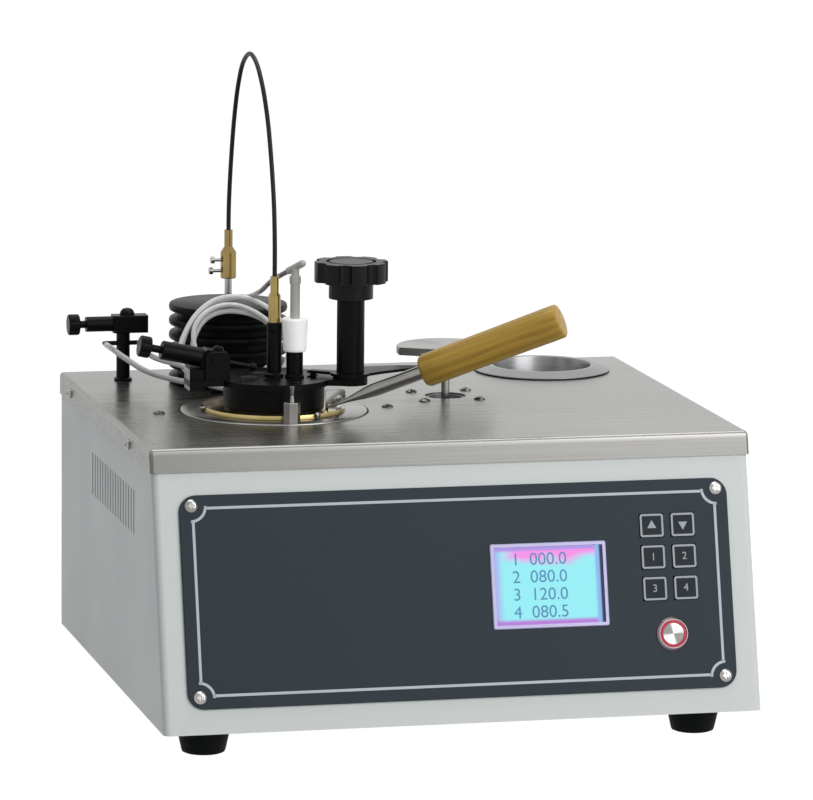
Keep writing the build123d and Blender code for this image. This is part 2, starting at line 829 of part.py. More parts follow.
def cup():
    """The brass test cup with its broad flange and filling mark."""
    bottom = cup_neck_rise - cup_depth - cup_wall
    mark = cup_neck_rise - 22.2
    body = turned([
        (0, bottom), (cup_outer_radius - 2, bottom), (cup_outer_radius, bottom + 2),
        (cup_outer_radius, ring_proud), (flange_radius, ring_proud), (flange_radius, flange_top - 0.5),
        (flange_radius - 0.5, flange_top),
        (cup_outer_radius, flange_top), (cup_outer_radius, cup_neck_rise), (cup_bore_radius, cup_neck_rise),
        (cup_bore_radius, mark + 0.4), (cup_bore_radius + 0.4, mark), (cup_bore_radius, mark - 0.4),
        (cup_bore_radius, bottom + cup_wall), (0, bottom + cup_wall),
    ], cup_x, cup_y, deck)
    return body - flange_screws_turned(rod(flange_shank_radius + running_fit, -5, 1))


def flange_screws_turned(piece):
    """A piece made along local +Z, repeated radially out of the flange's edge."""
    rise = deck + ring_proud + flange_head_radius + 0.1
    return [
        Pos(cup_x, cup_y, rise) * Rot(0, 0, turn) * Pos(flange_radius, 0, 0) * Rot(0, 90, 0) * piece
        for turn in flange_screw_turns
    ]


def cup_screws():
    """Two small screws in the flange's edge and the one that clamps the bracket."""
    edge_screw = pan_head(flange_head_radius, flange_head_proud, flange_shank_radius, 4, slot=True)
    clamp = pan_head(clamp_radius, clamp_proud, 1.7, bracket_sheet + 0.6, slot=True)
    x, z = clamp_place()
    place = Pos(x, cup_y - bracket_forward - bracket_sheet / 2, z)
    return Part() + flange_screws_turned(edge_screw) + [place * Rot(90, 0, 0) * clamp]


def clamp_place():
    """The clamp screw in the bracket, as (x, z)."""
    return cup_x + bracket_dx + clamp_dx, deck + flange_top + clamp_share * bracket_height


def handle_bracket():
    """The bent steel bracket that joins the handle to the flange."""
    x, y, base = cup_x + bracket_dx, cup_y - bracket_forward, deck + flange_top
    half, thin = bracket_width / 2, bracket_sheet / 2
    upright = block(x - half, x + half, y - thin, y + thin, base, base + bracket_height)
    upright = fillet(upright.faces().sort_by(Axis.Z)[-1].edges().filter_by(Axis.Y), 1.5)
    foot = block(x - half, x + half, y - bracket_foot, y + thin, base, base + bracket_sheet)
    foot &= rod(flange_radius, base - 1, base + 5, cup_x, cup_y)
    hole_x, hole_z = clamp_place()
    return upright + foot - outward(1.7, y - 3, y + 3, hole_x, hole_z)


def handle_frame():
    """The handle's own axis: local +Z runs from the bracket out to the grip."""
    origin = (cup_x + handle_start_dx, cup_y - handle_start_forward, deck + handle_start_rise)
    turn, rise = math.radians(handle_turn), math.radians(handle_rise)
    along = (math.cos(rise) * math.cos(turn), math.cos(rise) * math.sin(turn), math.sin(rise))
    level = (-math.sin(turn), math.cos(turn), 0)
    return Plane(origin=origin, x_dir=level, z_dir=along)


def handle_ferrule():
    """The tapered steel ferrule, flattened to a tongue that lies on the bracket's foot."""
    axis = handle_frame()
    sections = [axis * RectangleRounded(ferrule_tip_width, ferrule_tip_thick, 1.1)]
    for reach, half_width, half_thick in ferrule_taper:
        sections.append(axis.offset(reach) * Ellipse(half_width, half_thick))
    sections.append(axis.offset(ferrule_round_from) * Circle(ferrule_radius))
    straight = Cylinder(ferrule_radius, ferrule_length - ferrule_round_from, align=STANDING)
    tongue = Box(tongue_length, tongue_width, ferrule_tip_thick, align=STANDING)
    seat = deck + flange_top + bracket_sheet
    place = Pos(axis.origin.X + 1.0, axis.origin.Y - 0.5, seat) * Rot(0, 0, handle_turn)
    return loft(sections) + axis.offset(ferrule_round_from) * straight + place * tongue


def handle_grip():
    """The turned wooden grip with a slight belly and broken ends."""
    start, end = ferrule_length, ferrule_length + grip_length
    swell = Spline(
        (grip_radius, 0, start + grip_near_edge), (grip_middle_radius, 0, start + 0.4 * grip_length),
        (grip_far_radius, 0, start + 0.8 * grip_length), (grip_far_radius - 0.2, 0, end - grip_far_edge),
        tangents=((0, 0, 1), (-0.04, 0, 1)),
    )
    near = Polyline((0, 0, start), (grip_radius - 1.7, 0, start), (grip_radius, 0, start + grip_near_edge))
    far = Polyline(
        (grip_far_radius - 0.2, 0, end - grip_far_edge), (grip_far_radius - 0.7, 0, end - 0.4),
        (grip_far_radius - 1.7, 0, end), (0, 0, end), (0, 0, start),
    )
    return handle_frame() * revolve(make_face(near + swell + far), Axis.Z)


# ---------------------------------------------------------------- lid
def lid_arms(low, high):
    """The arm that carries the knob and the arm that carries the gas block."""
    right = rod(knob_flare_radius, low, high, knob_x, knob_y)
    turn = math.degrees(math.atan2(-knob_forward, knob_dx))
    right += Pos(cup_x, cup_y, low) * Rot(0, 0, turn) * Box(
        math.hypot(knob_dx, knob_forward), 2 * knob_flare_radius - 2, high - low,
        align=(Align.MIN, Align.CENTER, Align.MIN),
    )
    left = block(cup_x + arm_left, cup_x + arm_right, cup_y - arm_half, cup_y + arm_half, low, high)
    left -= block(cup_x + arm_left - 1, cup_x + gas_block_right, cup_y + gas_block_half, cup_y + arm_half + 1,
                  low - 1, high + 1)
    return right + left


def gas_block():
    """The block at the left arm's end that the gas passes through, cut off under the burner."""
    left, right = cup_x + gas_block_left, cup_x + gas_block_right
    front_side, back_side = cup_y - gas_block_half, cup_y + gas_block_half
    made = block(left, right, front_side, back_side, deck + gas_block_bottom, burner_z + 10)
    return made - burner_frame() * block(-60, 20, -30, 30, -gas_block_drop, 40)


def lid_body():
    """The blackened lid: rim, plate with a recess and three ports, two arms, gas block, sensor guide."""
    low, high = deck + lid_plate_bottom, deck + lid_plate_top
    floor = high - guard_thick - shutter_room
    rim = tube(lid_rim_radius, cup_outer_radius + slide_gap, deck + flange_top + seat_gap, low, cup_x, cup_y)
    plate = rod(lid_plate_radius, low, high, cup_x, cup_y)
    crown = rod(lid_rim_radius, deck + cup_neck_rise + seat_gap, low, cup_x, cup_y)
    lid = rim + plate + crown + lid_arms(low, high) + gas_block()
    lid -= rod(guard_radius, floor, high + 1, cup_x, cup_y)
    for angle in port_angles:
        lid -= port_place(angle) * rod(port_radius, low - 20, high)
    lid += rod(hub_radius, floor - 0.5, high, cup_x, cup_y)
    lid += rod(probe_radius + boss_wall, floor - 0.5, high, sensor_x, sensor_y)
    lid += turned([
        (0, 0), (guide_radius + 0.9, 0), (guide_radius + 0.9, 1.6), (guide_radius, 2.4),
        (guide_radius, guide_top - lid_plate_top), (0, guide_top - lid_plate_top),
    ], sensor_x, sensor_y, high)
    lid += rod(pivot_radius, high - 1, deck + knob_hub_bottom + 8, knob_x, knob_y)
    lid -= rod(spindle_radius + running_fit, low - 20, high + 1, cup_x, cup_y)
    lid -= rod(probe_radius, low - 20, deck + guide_top + 1, sensor_x, sensor_y)
    for turn in guard_screw_turns:
        lid -= guard_screw_place(turn, high) * rod(1.1, -4, 1)
    return lid


def guard_screw_place(turn, z):
    """The place of a guard screw at height z."""
    return Pos(cup_x, cup_y, z) * Rot(0, 0, turn) * Pos(guard_screw_reach, 0, 0)


def port_place(angle):
    """The place of a port about the cup's axis."""
    return Pos(cup_x, cup_y, 0) * Rot(0, 0, angle) * Pos(port_reach, 0, 0)


def shutter_guard():
    """The cover plate over the shutter, with three countersunk ports and a slot for the crank pin."""
    low, high = deck + lid_plate_top - guard_thick, deck + lid_plate_top
    guard = rod(guard_radius - running_fit, low, high, cup_x, cup_y)
    mouth = turned([
        (0, low - 1), (port_radius, low - 1), (port_radius, low), (port_mouth_radius, high), (0, high),
    ])
    for angle in port_angles:
        guard -= port_place(angle) * mouth
    guard -= rod(hub_radius, low - 1, high + 1, cup_x, cup_y)
    guard -= rod(guide_radius + 0.9, low - 1, high + 1, sensor_x, sensor_y)
    guard -= pin_slot(crank_pin_radius + lever_play, low - 1, high + 1)
    screw = pan_head(guard_head_radius, guard_head_proud, 1.0, guard_thick + 2, slot=True)
    for turn in guard_screw_turns:
        guard += guard_screw_place(turn, high) * screw
    return guard


def pin_slot(half_width, bottom, top):
    """The curved slot that the crank pin sweeps."""
    first, sweep = crank_turn - slot_margin_deg, knob_travel_deg + 2 * slot_margin_deg
    arc = CenterArc((knob_x, knob_y), crank_reach, first, sweep)
    return extrude(Pos(0, 0, bottom) * trace(arc, 2 * half_width), top - bottom)


def crank_pin_place(turn):
    """Where the crank pin is when the knob has turned this many degrees."""
    angle = math.radians(crank_turn + turn)
    return knob_x + crank_reach * math.cos(angle), knob_y + crank_reach * math.sin(angle)


def shutter():
    """The rotating shutter: a disc with three ports and a radial slot for the crank pin."""
    bottom = deck + lid_plate_top - guard_thick - shutter_room + running_fit
    disc = rod(shutter_radius, bottom, bottom + shutter_thick, cup_x, cup_y)
    disc -= rod(hub_radius + running_fit, bottom - 1, bottom + 5, cup_x, cup_y)
    for angle in port_angles:
        disc -= port_place(angle + shutter_turn_deg) * rod(port_radius, bottom - 1, bottom + 5)
    px, py = crank_pin_place(0)
    reach = math.hypot(px - cup_x, py - cup_y)
    half = crank_pin_radius + lever_play
    slot = rod(half, -1, 5) + Pos(10, 0, 2) * Box(20, 2 * half, 6)
    turn = math.degrees(math.atan2(py - cup_y, px - cup_x))
    disc -= Pos(cup_x, cup_y, bottom) * Rot(0, 0, turn) * Pos(reach - 2.1, 0, 0) * slot
    sensor_reach = math.hypot(sensor_dx, sensor_forward)
    sensor_turn = math.degrees(math.atan2(-sensor_forward, sensor_dx))
    boss = probe_radius + boss_wall + 0.5
    path = CenterArc((cup_x, cup_y), sensor_reach, sensor_turn, shutter_turn_deg)
    disc -= extrude(Pos(0, 0, bottom - 1) * trace(path, 2 * boss), 5)
    for turn in (sensor_turn, sensor_turn + shutter_turn_deg):
        place = Pos(cup_x, cup_y, bottom) * Rot(0, 0, turn) * Pos(sensor_reach, 0, 0)
        disc -= place * rod(boss, -1, 5)
    return disc


def stirrer_column():
    """The black bearing tube of the stirrer, with a set screw in its collar."""
    r, top = column_radius, column_top - lid_plate_top
    bore = spindle_radius + running_fit
    outer = turned([
        (bore, 0), (r + 1.6, 0), (r + 1.6, 2.0), (r, 3.2), (r, top - 6), (r + 0.3, top - 5.4),
        (r + 0.3, top - 0.6), (r - 0.3, top), (bore, top),
    ], cup_x, cup_y, deck + lid_plate_top)
    return outer + across(1.3, cup_x + r - 1.0, cup_x + r + 1.6, cup_y + 2.0, deck + column_top - 8)


def stirrer():
    """The stirrer's spindle with its two pairs of blades."""
    made = rod(spindle_radius, deck - stirrer_blade_drop - 3, deck + column_top + spindle_rise, cup_x, cup_y)
    for drop, reach, hub in ((stirrer_blade_drop, stirrer_blade_reach, 3.6), (-8.0, 9.5, 3.0)):
        z = deck - drop
        made += rod(hub, z - 3, z + 3, cup_x, cup_y)
        blade = Pos(reach / 2, 0, 0) * Rot(45, 0, 0) * Box(reach, 6, 1.2)
        for turn in (0, 180):
            made += Pos(cup_x, cup_y, z) * Rot(0, 0, turn) * blade
    return made


def spindle_coupling():
    """The brass sleeve that joins spindle and flexible shaft."""
    low, high = column_top + slide_gap, spindle_coupling_top
    wide, neck, bore = spindle_coupling_radius, spindle_neck_radius, flex_radius + running_fit
    join = column_top + spindle_rise
    return turned([
        (spindle_radius, low), (wide, low), (wide, spindle_body_top), (neck, spindle_body_top + 2),
        (neck, high), (bore, high), (bore, join), (spindle_radius, join),
    ], cup_x, cup_y, deck)


def motor_coupling():
    """The brass sleeve on the motor shaft, with a long nose for the flexible shaft."""
    r, nose = motor_coupling_radius, motor_coupling_nose
    low, high = motor_coupling_bottom, motor_coupling_top
    shoulder, neck = motor_coupling_shoulder
    wide_bore, thin_bore = motor_shaft_radius + running_fit, flex_radius + running_fit
    sleeve = turned([
        (wide_bore, low), (r - 0.5, low), (r, low + 0.6), (r, shoulder), (nose, neck), (nose, high),
        (thin_bore, high), (thin_bore, motor_coupling_bore_top + 3), (wide_bore, motor_coupling_bore_top),
    ], motor_x, motor_y, deck)
    outside, inside = motor_x - r - 1, motor_x - motor_shaft_radius + 1
    for rise in thumb_screw_rises:
        sleeve -= across(thumb_shank_radius, outside, inside, motor_y, deck + rise)
    return sleeve


def coupling_screws():
    """Two thumb screws in the motor coupling."""
    made = []
    inner = motor_x - motor_shaft_radius - running_fit - 0.1
    for rise, reach in zip(thumb_screw_rises, thumb_screw_reaches):
        end = motor_x - motor_coupling_radius - reach
        shank = across(thumb_shank_radius, end + 1, inner, motor_y, deck + rise)
        head = across(thumb_head_radius, end, end + 2.6, motor_y, deck + rise)
        made += [shank + head]
    return Part() + made


def flexible_shaft():
    """The drive shaft that arches from the motor coupling over to the stirrer."""
    return tube_along("flexible_shaft", flex_route(), flex_radius)


def flex_route():
    """Route of the flexible shaft, from the motor coupling to the spindle coupling."""
    arch = [
        (motor_back, motor_coupling_bore_top + 3.2), (motor_back, 130.0), (motor_back - 5.0, 160.0),
        (263.5, 191.0), (253.0, 219.0),
        (238.5, 240.5), (217.5, 250.5), (197.5, 244.5), (180.0, 228.5), (165.5, 206.0), (154.5, 176.0),
        (cup_back + 2.6, 147.0), (cup_back, 120.0), (cup_back, column_top + spindle_rise + 0.2),
    ]
    span = motor_back - cup_back
    return [
        (motor_x + (motor_back - back) / span * (cup_x - motor_x), front_y + back, deck + rise)
        for back, rise in arch
    ]


def motor_housing():
    """The black finned housing of the stirrer motor."""
    core, rim = housing_core_radius, housing_radius
    profile = [(0, 0), (core, 0)]
    for i in range(fin_count):
        low = fin_foot + i * fin_pitch
        high = low + fin_thick
        profile += [
            (core, low), (rim - 1.2, low), (rim, low + fin_edge), (rim, high - fin_edge), (rim - 1.2, high),
            (core, high),
        ]
    profile = profile[:-1] + [(0, housing_top)]
    body = turned(profile, motor_x, motor_y, deck)
    inside = rod(core - housing_wall, deck - 1, deck + housing_top - housing_wall, motor_x, motor_y)
    return body - inside - rod(motor_shaft_radius + 0.6, deck, deck + housing_top + 1, motor_x, motor_y)


def stirrer_motor():
    """The stirrer motor inside the housing."""
    top = deck + housing_top - housing_wall
    body = rod(stirrer_motor_radius, deck, top, motor_x, motor_y)
    bore_foot = deck + motor_shaft_foot - 0.2
    return body - rod(motor_shaft_radius + running_fit, bore_foot, top + 1, motor_x, motor_y)


def motor_shaft():
    """The stirrer motor's steel shaft."""
    return rod(motor_shaft_radius, deck + motor_shaft_foot, deck + motor_shaft_top, motor_x, motor_y)


def sensor_ferrule():
    """The white plastic plug that holds the sensor in its guide."""
    low, high = ferrule_low_radius, ferrule_high_radius
    return turned([
        (probe_radius, guide_top), (low, guide_top), (low + 0.5, guide_top + 1.2), (high, ferrule_top - 1.0),
        (high - 0.8, ferrule_top), (probe_radius, ferrule_top),
    ], sensor_x, sensor_y, deck)


def lead_direction():
    """The way the sensor lead leaves the sensor's head."""
    return Vector(*lead_way).normalized()


def head_centre():
    """The middle of the sensor's cross head."""
    return Vector(sensor_x, sensor_y, deck + probe_head_top)


def sensor_probe():
    """The temperature sensor: sheath, collar and slanting head that the lead leaves."""
    r, collar, neck = probe_radius, probe_collar_top, probe_radius - 0.6
    sheath = turned([
        (0, -probe_tip_drop), (r - 0.8, -probe_tip_drop), (r, -probe_tip_drop + 1), (r, collar - 6),
        (r + 0.6, collar - 5.4), (r + 0.6, collar - 0.6), (r, collar), (neck, collar), (neck, probe_head_top),
        (0, probe_head_top),
    ], sensor_x, sensor_y, deck)
    way = lead_direction()
    start = head_centre() - way * probe_head_half
    head = Plane(origin=start, z_dir=way) * Cylinder(probe_head_radius, 2 * probe_head_half, align=STANDING)
    return sheath + head + Pos(*start) * Sphere(probe_head_radius)


# ---------------------------------------------------------------- sensor lead
def on_coil(across_coil, up_coil, ahead=0.0):
    """A point given across, up and out of the coil's plane."""
    return coil_frame().from_local_coords(Vector(across_coil, up_coil, ahead))


def sensor_lead():
    """The sensor lead from the head down to its coil."""
    way = lead_direction()
    begin = head_centre() + way * probe_head_half
    points = [
        tuple(begin), tuple(begin + way * 14), (coil_x + 22.9, coil_y - 47.0, deck + 88.2),
        (coil_x + 23.4, coil_y - 15.0, deck + 77.6), tuple(on_coil(24.5, 35.6)),
    ]
    return tube_along("sensor_lead", points, lead_radius)


def coil_frame():
    """The coil's own axes: local Z is the axis of its turns."""
    lean = math.radians(coil_lean)
    normal = (0, -math.cos(lean), math.sin(lean))
    return Plane(origin=(coil_x, coil_y, deck + coil_rise), x_dir=(1, 0, 0), z_dir=normal)


def coil_side(strand, grow):
    """The area inside a strand, its points moved out from their middle by grow."""
    middle = Vector(*(sum(values) / len(strand) for values in zip(*strand)))
    rays = [Vector(*point) - middle for point in strand]
    moved = [middle + ray * (1 + grow / ray.length) for ray in rays]
    return make_face(Spline(*moved, periodic=True))


def sensor_coil():
    """The outer shape of the loosely coiled part of the lead."""
    ring = coil_side(coil_outline, lead_radius) - coil_side(coil_hole, -lead_radius)
    solid = extrude(ring, coil_half_width, both=True)
    return coil_frame() * chamfer(solid.edges(), coil_edge)


def lead_gland():
    """The rubber grommet where the lead goes through the cover."""
    r = lead_radius
    return turned([
        (r, -cover_sheet), (r + hole_gap, -cover_sheet), (r + hole_gap, 0), (5.5, 0), (5.5, 2.0),
        (3.6, gland_height), (r, gland_height),
    ], gland_x, gland_y, deck)


# ---------------------------------------------------------------- shutter drive
def knob_column():
    """The turning column under the star knob."""
    low = lid_plate_top + seat_gap
    return turned([
        (pivot_radius + running_fit, low), (knob_flare_radius, low), (knob_flare_radius, lever_bottom),
        (knob_column_radius, lever_bottom), (knob_column_radius, knob_hub_bottom),
        (pivot_radius + running_fit, knob_hub_bottom),
    ], knob_x, knob_y, deck)


def star_knob():
    """The lobed hand knob with its hub and recessed cap."""
    star = extrude(Circle(star_radius), star_top - star_bottom)
    for i in range(star_lobes):
        angle = 2 * math.pi * (i + 0.5) / star_lobes
        reach = star_radius + 1.6
        star -= rod(star_notch_radius, -1, 40, reach * math.cos(angle), reach * math.sin(angle))
    star = Pos(knob_x, knob_y, deck + star_bottom) * star
    hub = rod(knob_hub_radius, deck + knob_hub_bottom, deck + star_bottom, knob_x, knob_y)
    recess = tube(18.0, 15.6, deck + star_top - 1.2, deck + star_top + 1, knob_x, knob_y)
    bore = rod(pivot_radius + running_fit, deck, deck + knob_hub_bottom + 8.5, knob_x, knob_y)
    return star + hub - recess - bore


def drive_lever():
    """The bell crank on the column: a wide arm with the pin, a short arm with the crank pin."""
    bottom, top = deck + lever_bottom, deck + lever_bottom + lever_thick
    column = Pos(knob_x, knob_y, 0)
    eye = rod(knob_flare_radius + 2, bottom, top, knob_x, knob_y)
    plate = make_face(Polyline(
        (0, -knob_flare_radius), *lever_front, (lever_reach, -lever_tip_half), (lever_reach, lever_tip_half),
        *lever_back, (0, knob_flare_radius + 1.5), close=True,
    ))
    arm = Pos(0, 0, bottom) * extrude(plate, lever_thick) + rod(lever_tip_half, bottom, top, lever_reach, 0)
    upright = rod(lever_pin_radius, bottom, deck + disc_bottom + disc_thick + 0.6, lever_reach, 0)
    long_arm = column * Rot(0, 0, lever_turn) * (arm + upright)
    crank = Pos(0, 0, bottom) * extrude(make_face(Polyline(
        (0, -5), (crank_reach, -3.2), (crank_reach, 3.2), (0, 5), close=True,
    )), lever_thick)
    short_arm = column * Rot(0, 0, crank_turn) * (crank + rod(3.2, bottom, top, crank_reach, 0))
    recess_floor = deck + lid_plate_top - guard_thick - shutter_room
    pin = rod(crank_pin_radius, recess_floor + 0.1, bottom + 1, *crank_pin_place(0))
    return eye + long_arm + short_arm + pin - rod(knob_column_radius, deck, deck + 200, knob_x, knob_y)


def drive_disc():
    """The flat-sided disc on the shutter motor's spindle, with a finger that pushes the lever."""
    low, high = deck + disc_bottom, deck + disc_bottom + disc_thick
    plate = turned([
        (0, low), (disc_radius - 0.6, low), (disc_radius, low + 0.6), (disc_radius, high - 0.6),
        (disc_radius - 0.6, high), (0, high),
    ], disc_x, disc_y)
    side = Pos(disc_x, disc_y, 0) * Rot(0, 0, disc_flat_turn)
    plate -= side * block(disc_flat_reach, 2 * disc_radius, -disc_radius, disc_radius, low - 1, high + 1)
    spindle = rod(disc_spindle_radius, deck - 20, low + 1, disc_x, disc_y)
    root = disc_flat_reach - 5
    finger = across(finger_radius, root, finger_reach, 0, (low + high) / 2)
    return plate + spindle + Pos(disc_x, disc_y, 0) * Rot(0, 0, finger_turn) * finger


def shutter_motor():
    """The geared motor under the cover that turns the disc."""
    top, half = deck - cover_sheet, motor_body / 2
    made = block(disc_x - half, disc_x + half, disc_y - half, disc_y + half, top - 4, top)
    made += rod(half - 1, top - 4 - motor_body_height, top - 4, disc_x, disc_y)
    made -= rod(disc_spindle_radius + running_fit, deck - 20.5, deck + 5, disc_x, disc_y)
    made -= rod(disc_hole_radius - 3, top - 2, deck, disc_x, disc_y)
    for x, y in deck_screw_places()[2:]:
        made -= rod(1.55, top - 8, top + 1, x, y)
    return made


# ---------------------------------------------------------------- test flame
def burner_frame():
    """The burner's own axes: local X runs from the pivot towards the nozzle."""
    return Pos(burner_x, cup_y, burner_z) * Rot(0, burner_tilt, 0)


def burner_mount():
    """The fork that carries the burner, its pivot pin and the two hose nipples."""
    base = deck + lid_plate_top
    left, right = burner_x + mount_left, burner_x + mount_right
    made = block(left, right, cup_y - mount_half, cup_y + mount_half, base, base + 2.0)
    for side in (-1, 1):
        y = cup_y + side * (mount_half - mount_cheek / 2)
        cheek = block(left, right, y - mount_cheek / 2, y + mount_cheek / 2, base, burner_z + mount_crown)
        made += fillet(cheek.faces().sort_by(Axis.Z)[-1].edges().filter_by(Axis.Y), mount_corner)
    made += outward(2.0, cup_y - mount_half - 1.4, cup_y + mount_half + 1.4, burner_x, burner_z)
    back = cup_y + gas_block_half
    for rise in hose_end_rises:
        made += outward(nipple_radius, back, back + nipple_length, cup_x + hose_end_dx, deck + rise)
    return made


def burner_body():
    """The burner: valve barrel, pivot block and nozzle tube."""
    barrel = across(burner_barrel_radius, -burner_tail, -6, 0, 0)
    barrel = chamfer(barrel.edges(), 0.7)
    heart = block(-8, 11, -burner_block_half, burner_block_half, -7, 7)
    heart = fillet(heart.edges().filter_by(Axis.Y), 3)
    nozzle = across(1.6, 9, burner_nose - 3, 0, 0) + Pos(burner_nose - 3, 0, 0) * Sphere(2.6)
    screw = Pos(3.5, 0, 7) * pan_head(4.0, 3.4, 1.2, 2)
    made = barrel + heart + nozzle + screw
    made -= outward(2.0 + running_fit, -10, 10, 0, 0)
    made -= across(neck_radius + running_fit, -burner_tail - 1, burner_hole_depth - burner_tail, 0, 0)
    return burner_frame() * made


def knurled_wheel(reach, neck_depth):
    """A valve knob on its stem, along X, with the wheel at -reach."""
    wheel = across(knob_wheel_radius, -reach, -reach + knob_wheel_thick, 0, 0)
    wheel = fillet(wheel.edges(), 1.4)
    groove_reach = knob_wheel_radius + 0.25
    for i in range(knob_groove_count):
        a = 2 * math.pi * i / knob_groove_count
        y, z = groove_reach * math.cos(a), groove_reach * math.sin(a)
        wheel -= across(0.7, -reach - 1, -reach + knob_wheel_thick + 1, y, z)
    return wheel + across(neck_radius, -reach + 2, neck_depth, 0, 0)


def burner_knob():
    """The small wheel that sets the test flame."""
    return burner_frame() * knurled_wheel(burner_knob_reach, burner_hole_depth - 1 - burner_tail)


# ---------------------------------------------------------------- needle valve on its post
def cross_tube():
    """The bent tube across the post that both hoses are pushed on."""
    z = deck + cross_tube_rise
    left, right = (post_x + dx for dx in cross_tube_ends)
    made = across(cross_tube_radius, left, right, post_y, z)
    for x in (left, right):
        made += outward(cross_tube_radius, post_y - cross_tube_bend, post_y, x, z)
        made += Pos(x, post_y, z) * Sphere(cross_tube_radius)
    return made


def valve_post():
    """The post with its valve block, barrel, cross tube and domed top screw."""
    foot = post_radius + 1.6
    post = turned([
        (0, 0), (foot, 0), (foot, 1.6), (post_radius, 2.4), (post_radius, post_height), (0, post_height),
    ], post_x, post_y, deck)
    low, high, half = deck + post_height, deck + post_height + valve_block_height, valve_block_depth / 2
    head = block(valve_left, valve_left + valve_block_width, post_y - half, post_y + half, low, high)
    head = fillet(head.edges().filter_by(Axis.X), 0.8)
    end = valve_left - valve_barrel_length
    barrel = across(valve_barrel_radius, end, valve_left + 1, post_y, valve_z)
    barrel -= across(neck_radius + running_fit, end - 1, end + burner_hole_depth, post_y, valve_z)
    dome = turned([(0, 0), (5.4, 0), (5.4, 1.4), (4.6, 3.2), (3.0, 4.6), (0, 5.2)], post_x + 3, post_y, high)
    return post + head + barrel + dome + cross_tube()


def valve_knob():
    """The small wheel that sets the gas supply."""
    wheel = knurled_wheel(valve_knob_gap + knob_wheel_thick, burner_hole_depth - 1)
    return Pos(valve_left - valve_barrel_length, post_y, valve_z) * wheel


def gas_hoses():
    """Two short gas hoses from the post to the lid."""
    left, right = (post_x + dx for dx in cross_tube_ends)
    begin_y, begin_z = post_y - cross_tube_bend - seat_gap, deck + cross_tube_rise
    end_x, end_y = cup_x + hose_end_dx, cup_y + gas_block_half + nipple_length + 0.7
    low, high = (deck + rise for rise in hose_end_rises)
    outer = [
        (left, begin_y, begin_z), (left - 0.6, post_y - 32, begin_z + 1.0),
        (left + 6.0, post_y - 60, begin_z - 3.5),
        (left + 15.0, post_y - 84, begin_z - 8.5), (end_x - 8.0, end_y + 28, low - 1.9), (end_x, end_y, low),
    ]
    inner = [
        (right, begin_y, begin_z), (right + 0.2, post_y - 36, begin_z - 3.2),
        (right + 3.0, post_y - 70, begin_z - 2.3),
        (end_x - 3.0, end_y + 32, high - 1.7), (end_x, end_y, high),
    ]
    return Part() + [tube_along("outer hose", outer, hose_radius), tube_along("inner hose", inner, hose_radius)]


# ---------------------------------------------------------------- cooling well
def cooling_well():
    """The aluminium well where the hot cup cools, with a broad sloping lip."""
    bore, wall, depth = well_bore_radius, well_bore_radius + well_wall, -well_depth
    return turned([
        (0, depth), (wall, depth), (wall, 0), (well_flange_radius, 0), (well_flange_radius, 0.8),
        (well_flange_radius - 1.2, 1.6), (well_lip_radius, well_rise), (bore + 1.0, well_rise),
        (bore, well_rise - 1.0), (bore, depth + well_wall), (0, depth + well_wall),
    ], well_x, well_y, deck)


# ---------------------------------------------------------------- all pieces
def build():
    """Every node of the tester by name."""
    nodes = {
        "cabinet_body": cabinet_body(),
        "chassis": chassis(),
        "top_cover": top_cover(),
        "rubber_feet": rubber_feet(),
        "cover_screws": cover_screws(),
        "deck_screws": deck_screws(),
        "control_panel": control_panel(),
        "panel_screws": panel_screws(),
        "display_frame": display_frame(),
        "display_glass": display_glass(),
        "power_bezel": power_bezel(),
        "power_cap": power_cap(),
        "control_board": control_board(),
        "power_inlet": power_inlet(),
        "gas_inlet": gas_inlet(),
        "transformer": transformer(),
        "heater_vessel": heater_vessel(),
        "heater_element": heater_element(),
        "vessel_ring": vessel_ring(),
        "locating_stud": locating_stud(),
        "cup": cup(),
        "cup_screws": cup_screws(),
        "handle_bracket": handle_bracket(),
        "handle_ferrule": handle_ferrule(),
        "handle_grip": handle_grip(),
        "lid_body": lid_body(),
        "shutter": shutter(),
        "shutter_guard": shutter_guard(),
        "stirrer_column": stirrer_column(),
        "stirrer": stirrer(),
        "spindle_coupling": spindle_coupling(),
        "motor_coupling": motor_coupling(),
        "coupling_screws": coupling_screws(),
        "flexible_shaft": flexible_shaft(),
        "motor_housing": motor_housing(),
        "stirrer_motor": stirrer_motor(),
        "motor_shaft": motor_shaft(),
        "sensor_ferrule": sensor_ferrule(),
        "sensor_probe": sensor_probe(),
        "sensor_lead": sensor_lead(),
        "sensor_coil": sensor_coil(),
        "lead_gland": lead_gland(),
        "knob_column": knob_column(),
        "star_knob": star_knob(),
        "drive_lever": drive_lever(),
        "drive_disc": drive_disc(),
        "shutter_motor": shutter_motor(),
        "burner_mount": burner_mount(),
        "burner_body": burner_body(),
        "burner_knob": burner_knob(),
        "valve_post": valve_post(),
        "valve_knob": valve_knob(),
        "gas_hoses": gas_hoses(),
        "cooling_well": cooling_well(),
    }
    for index, (x, drop) in enumerate(key_places()):
        nodes[f"key_{index + 1}"] = key(x, drop)
    return nodes


os.makedirs("parts", exist_ok=True)
for node_name, shape in build().items():
    export_step(shape, f"parts/{node_name}.step")
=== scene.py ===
"""Dresses the packed closed-cup flash point tester: finishes, printed panel, display, hoses and sensor lead.

All lengths are in metres, in the frame of the solids: +X to the operator's right, +Y to the back, +Z up.
The outlines of turned pieces are in millimetres.
"""

import json
import logging
import math
from dataclasses import dataclass
from enum import Enum
from typing import Optional, Sequence, Union

import bmesh
import bpy
from mathutils import Matrix, Vector


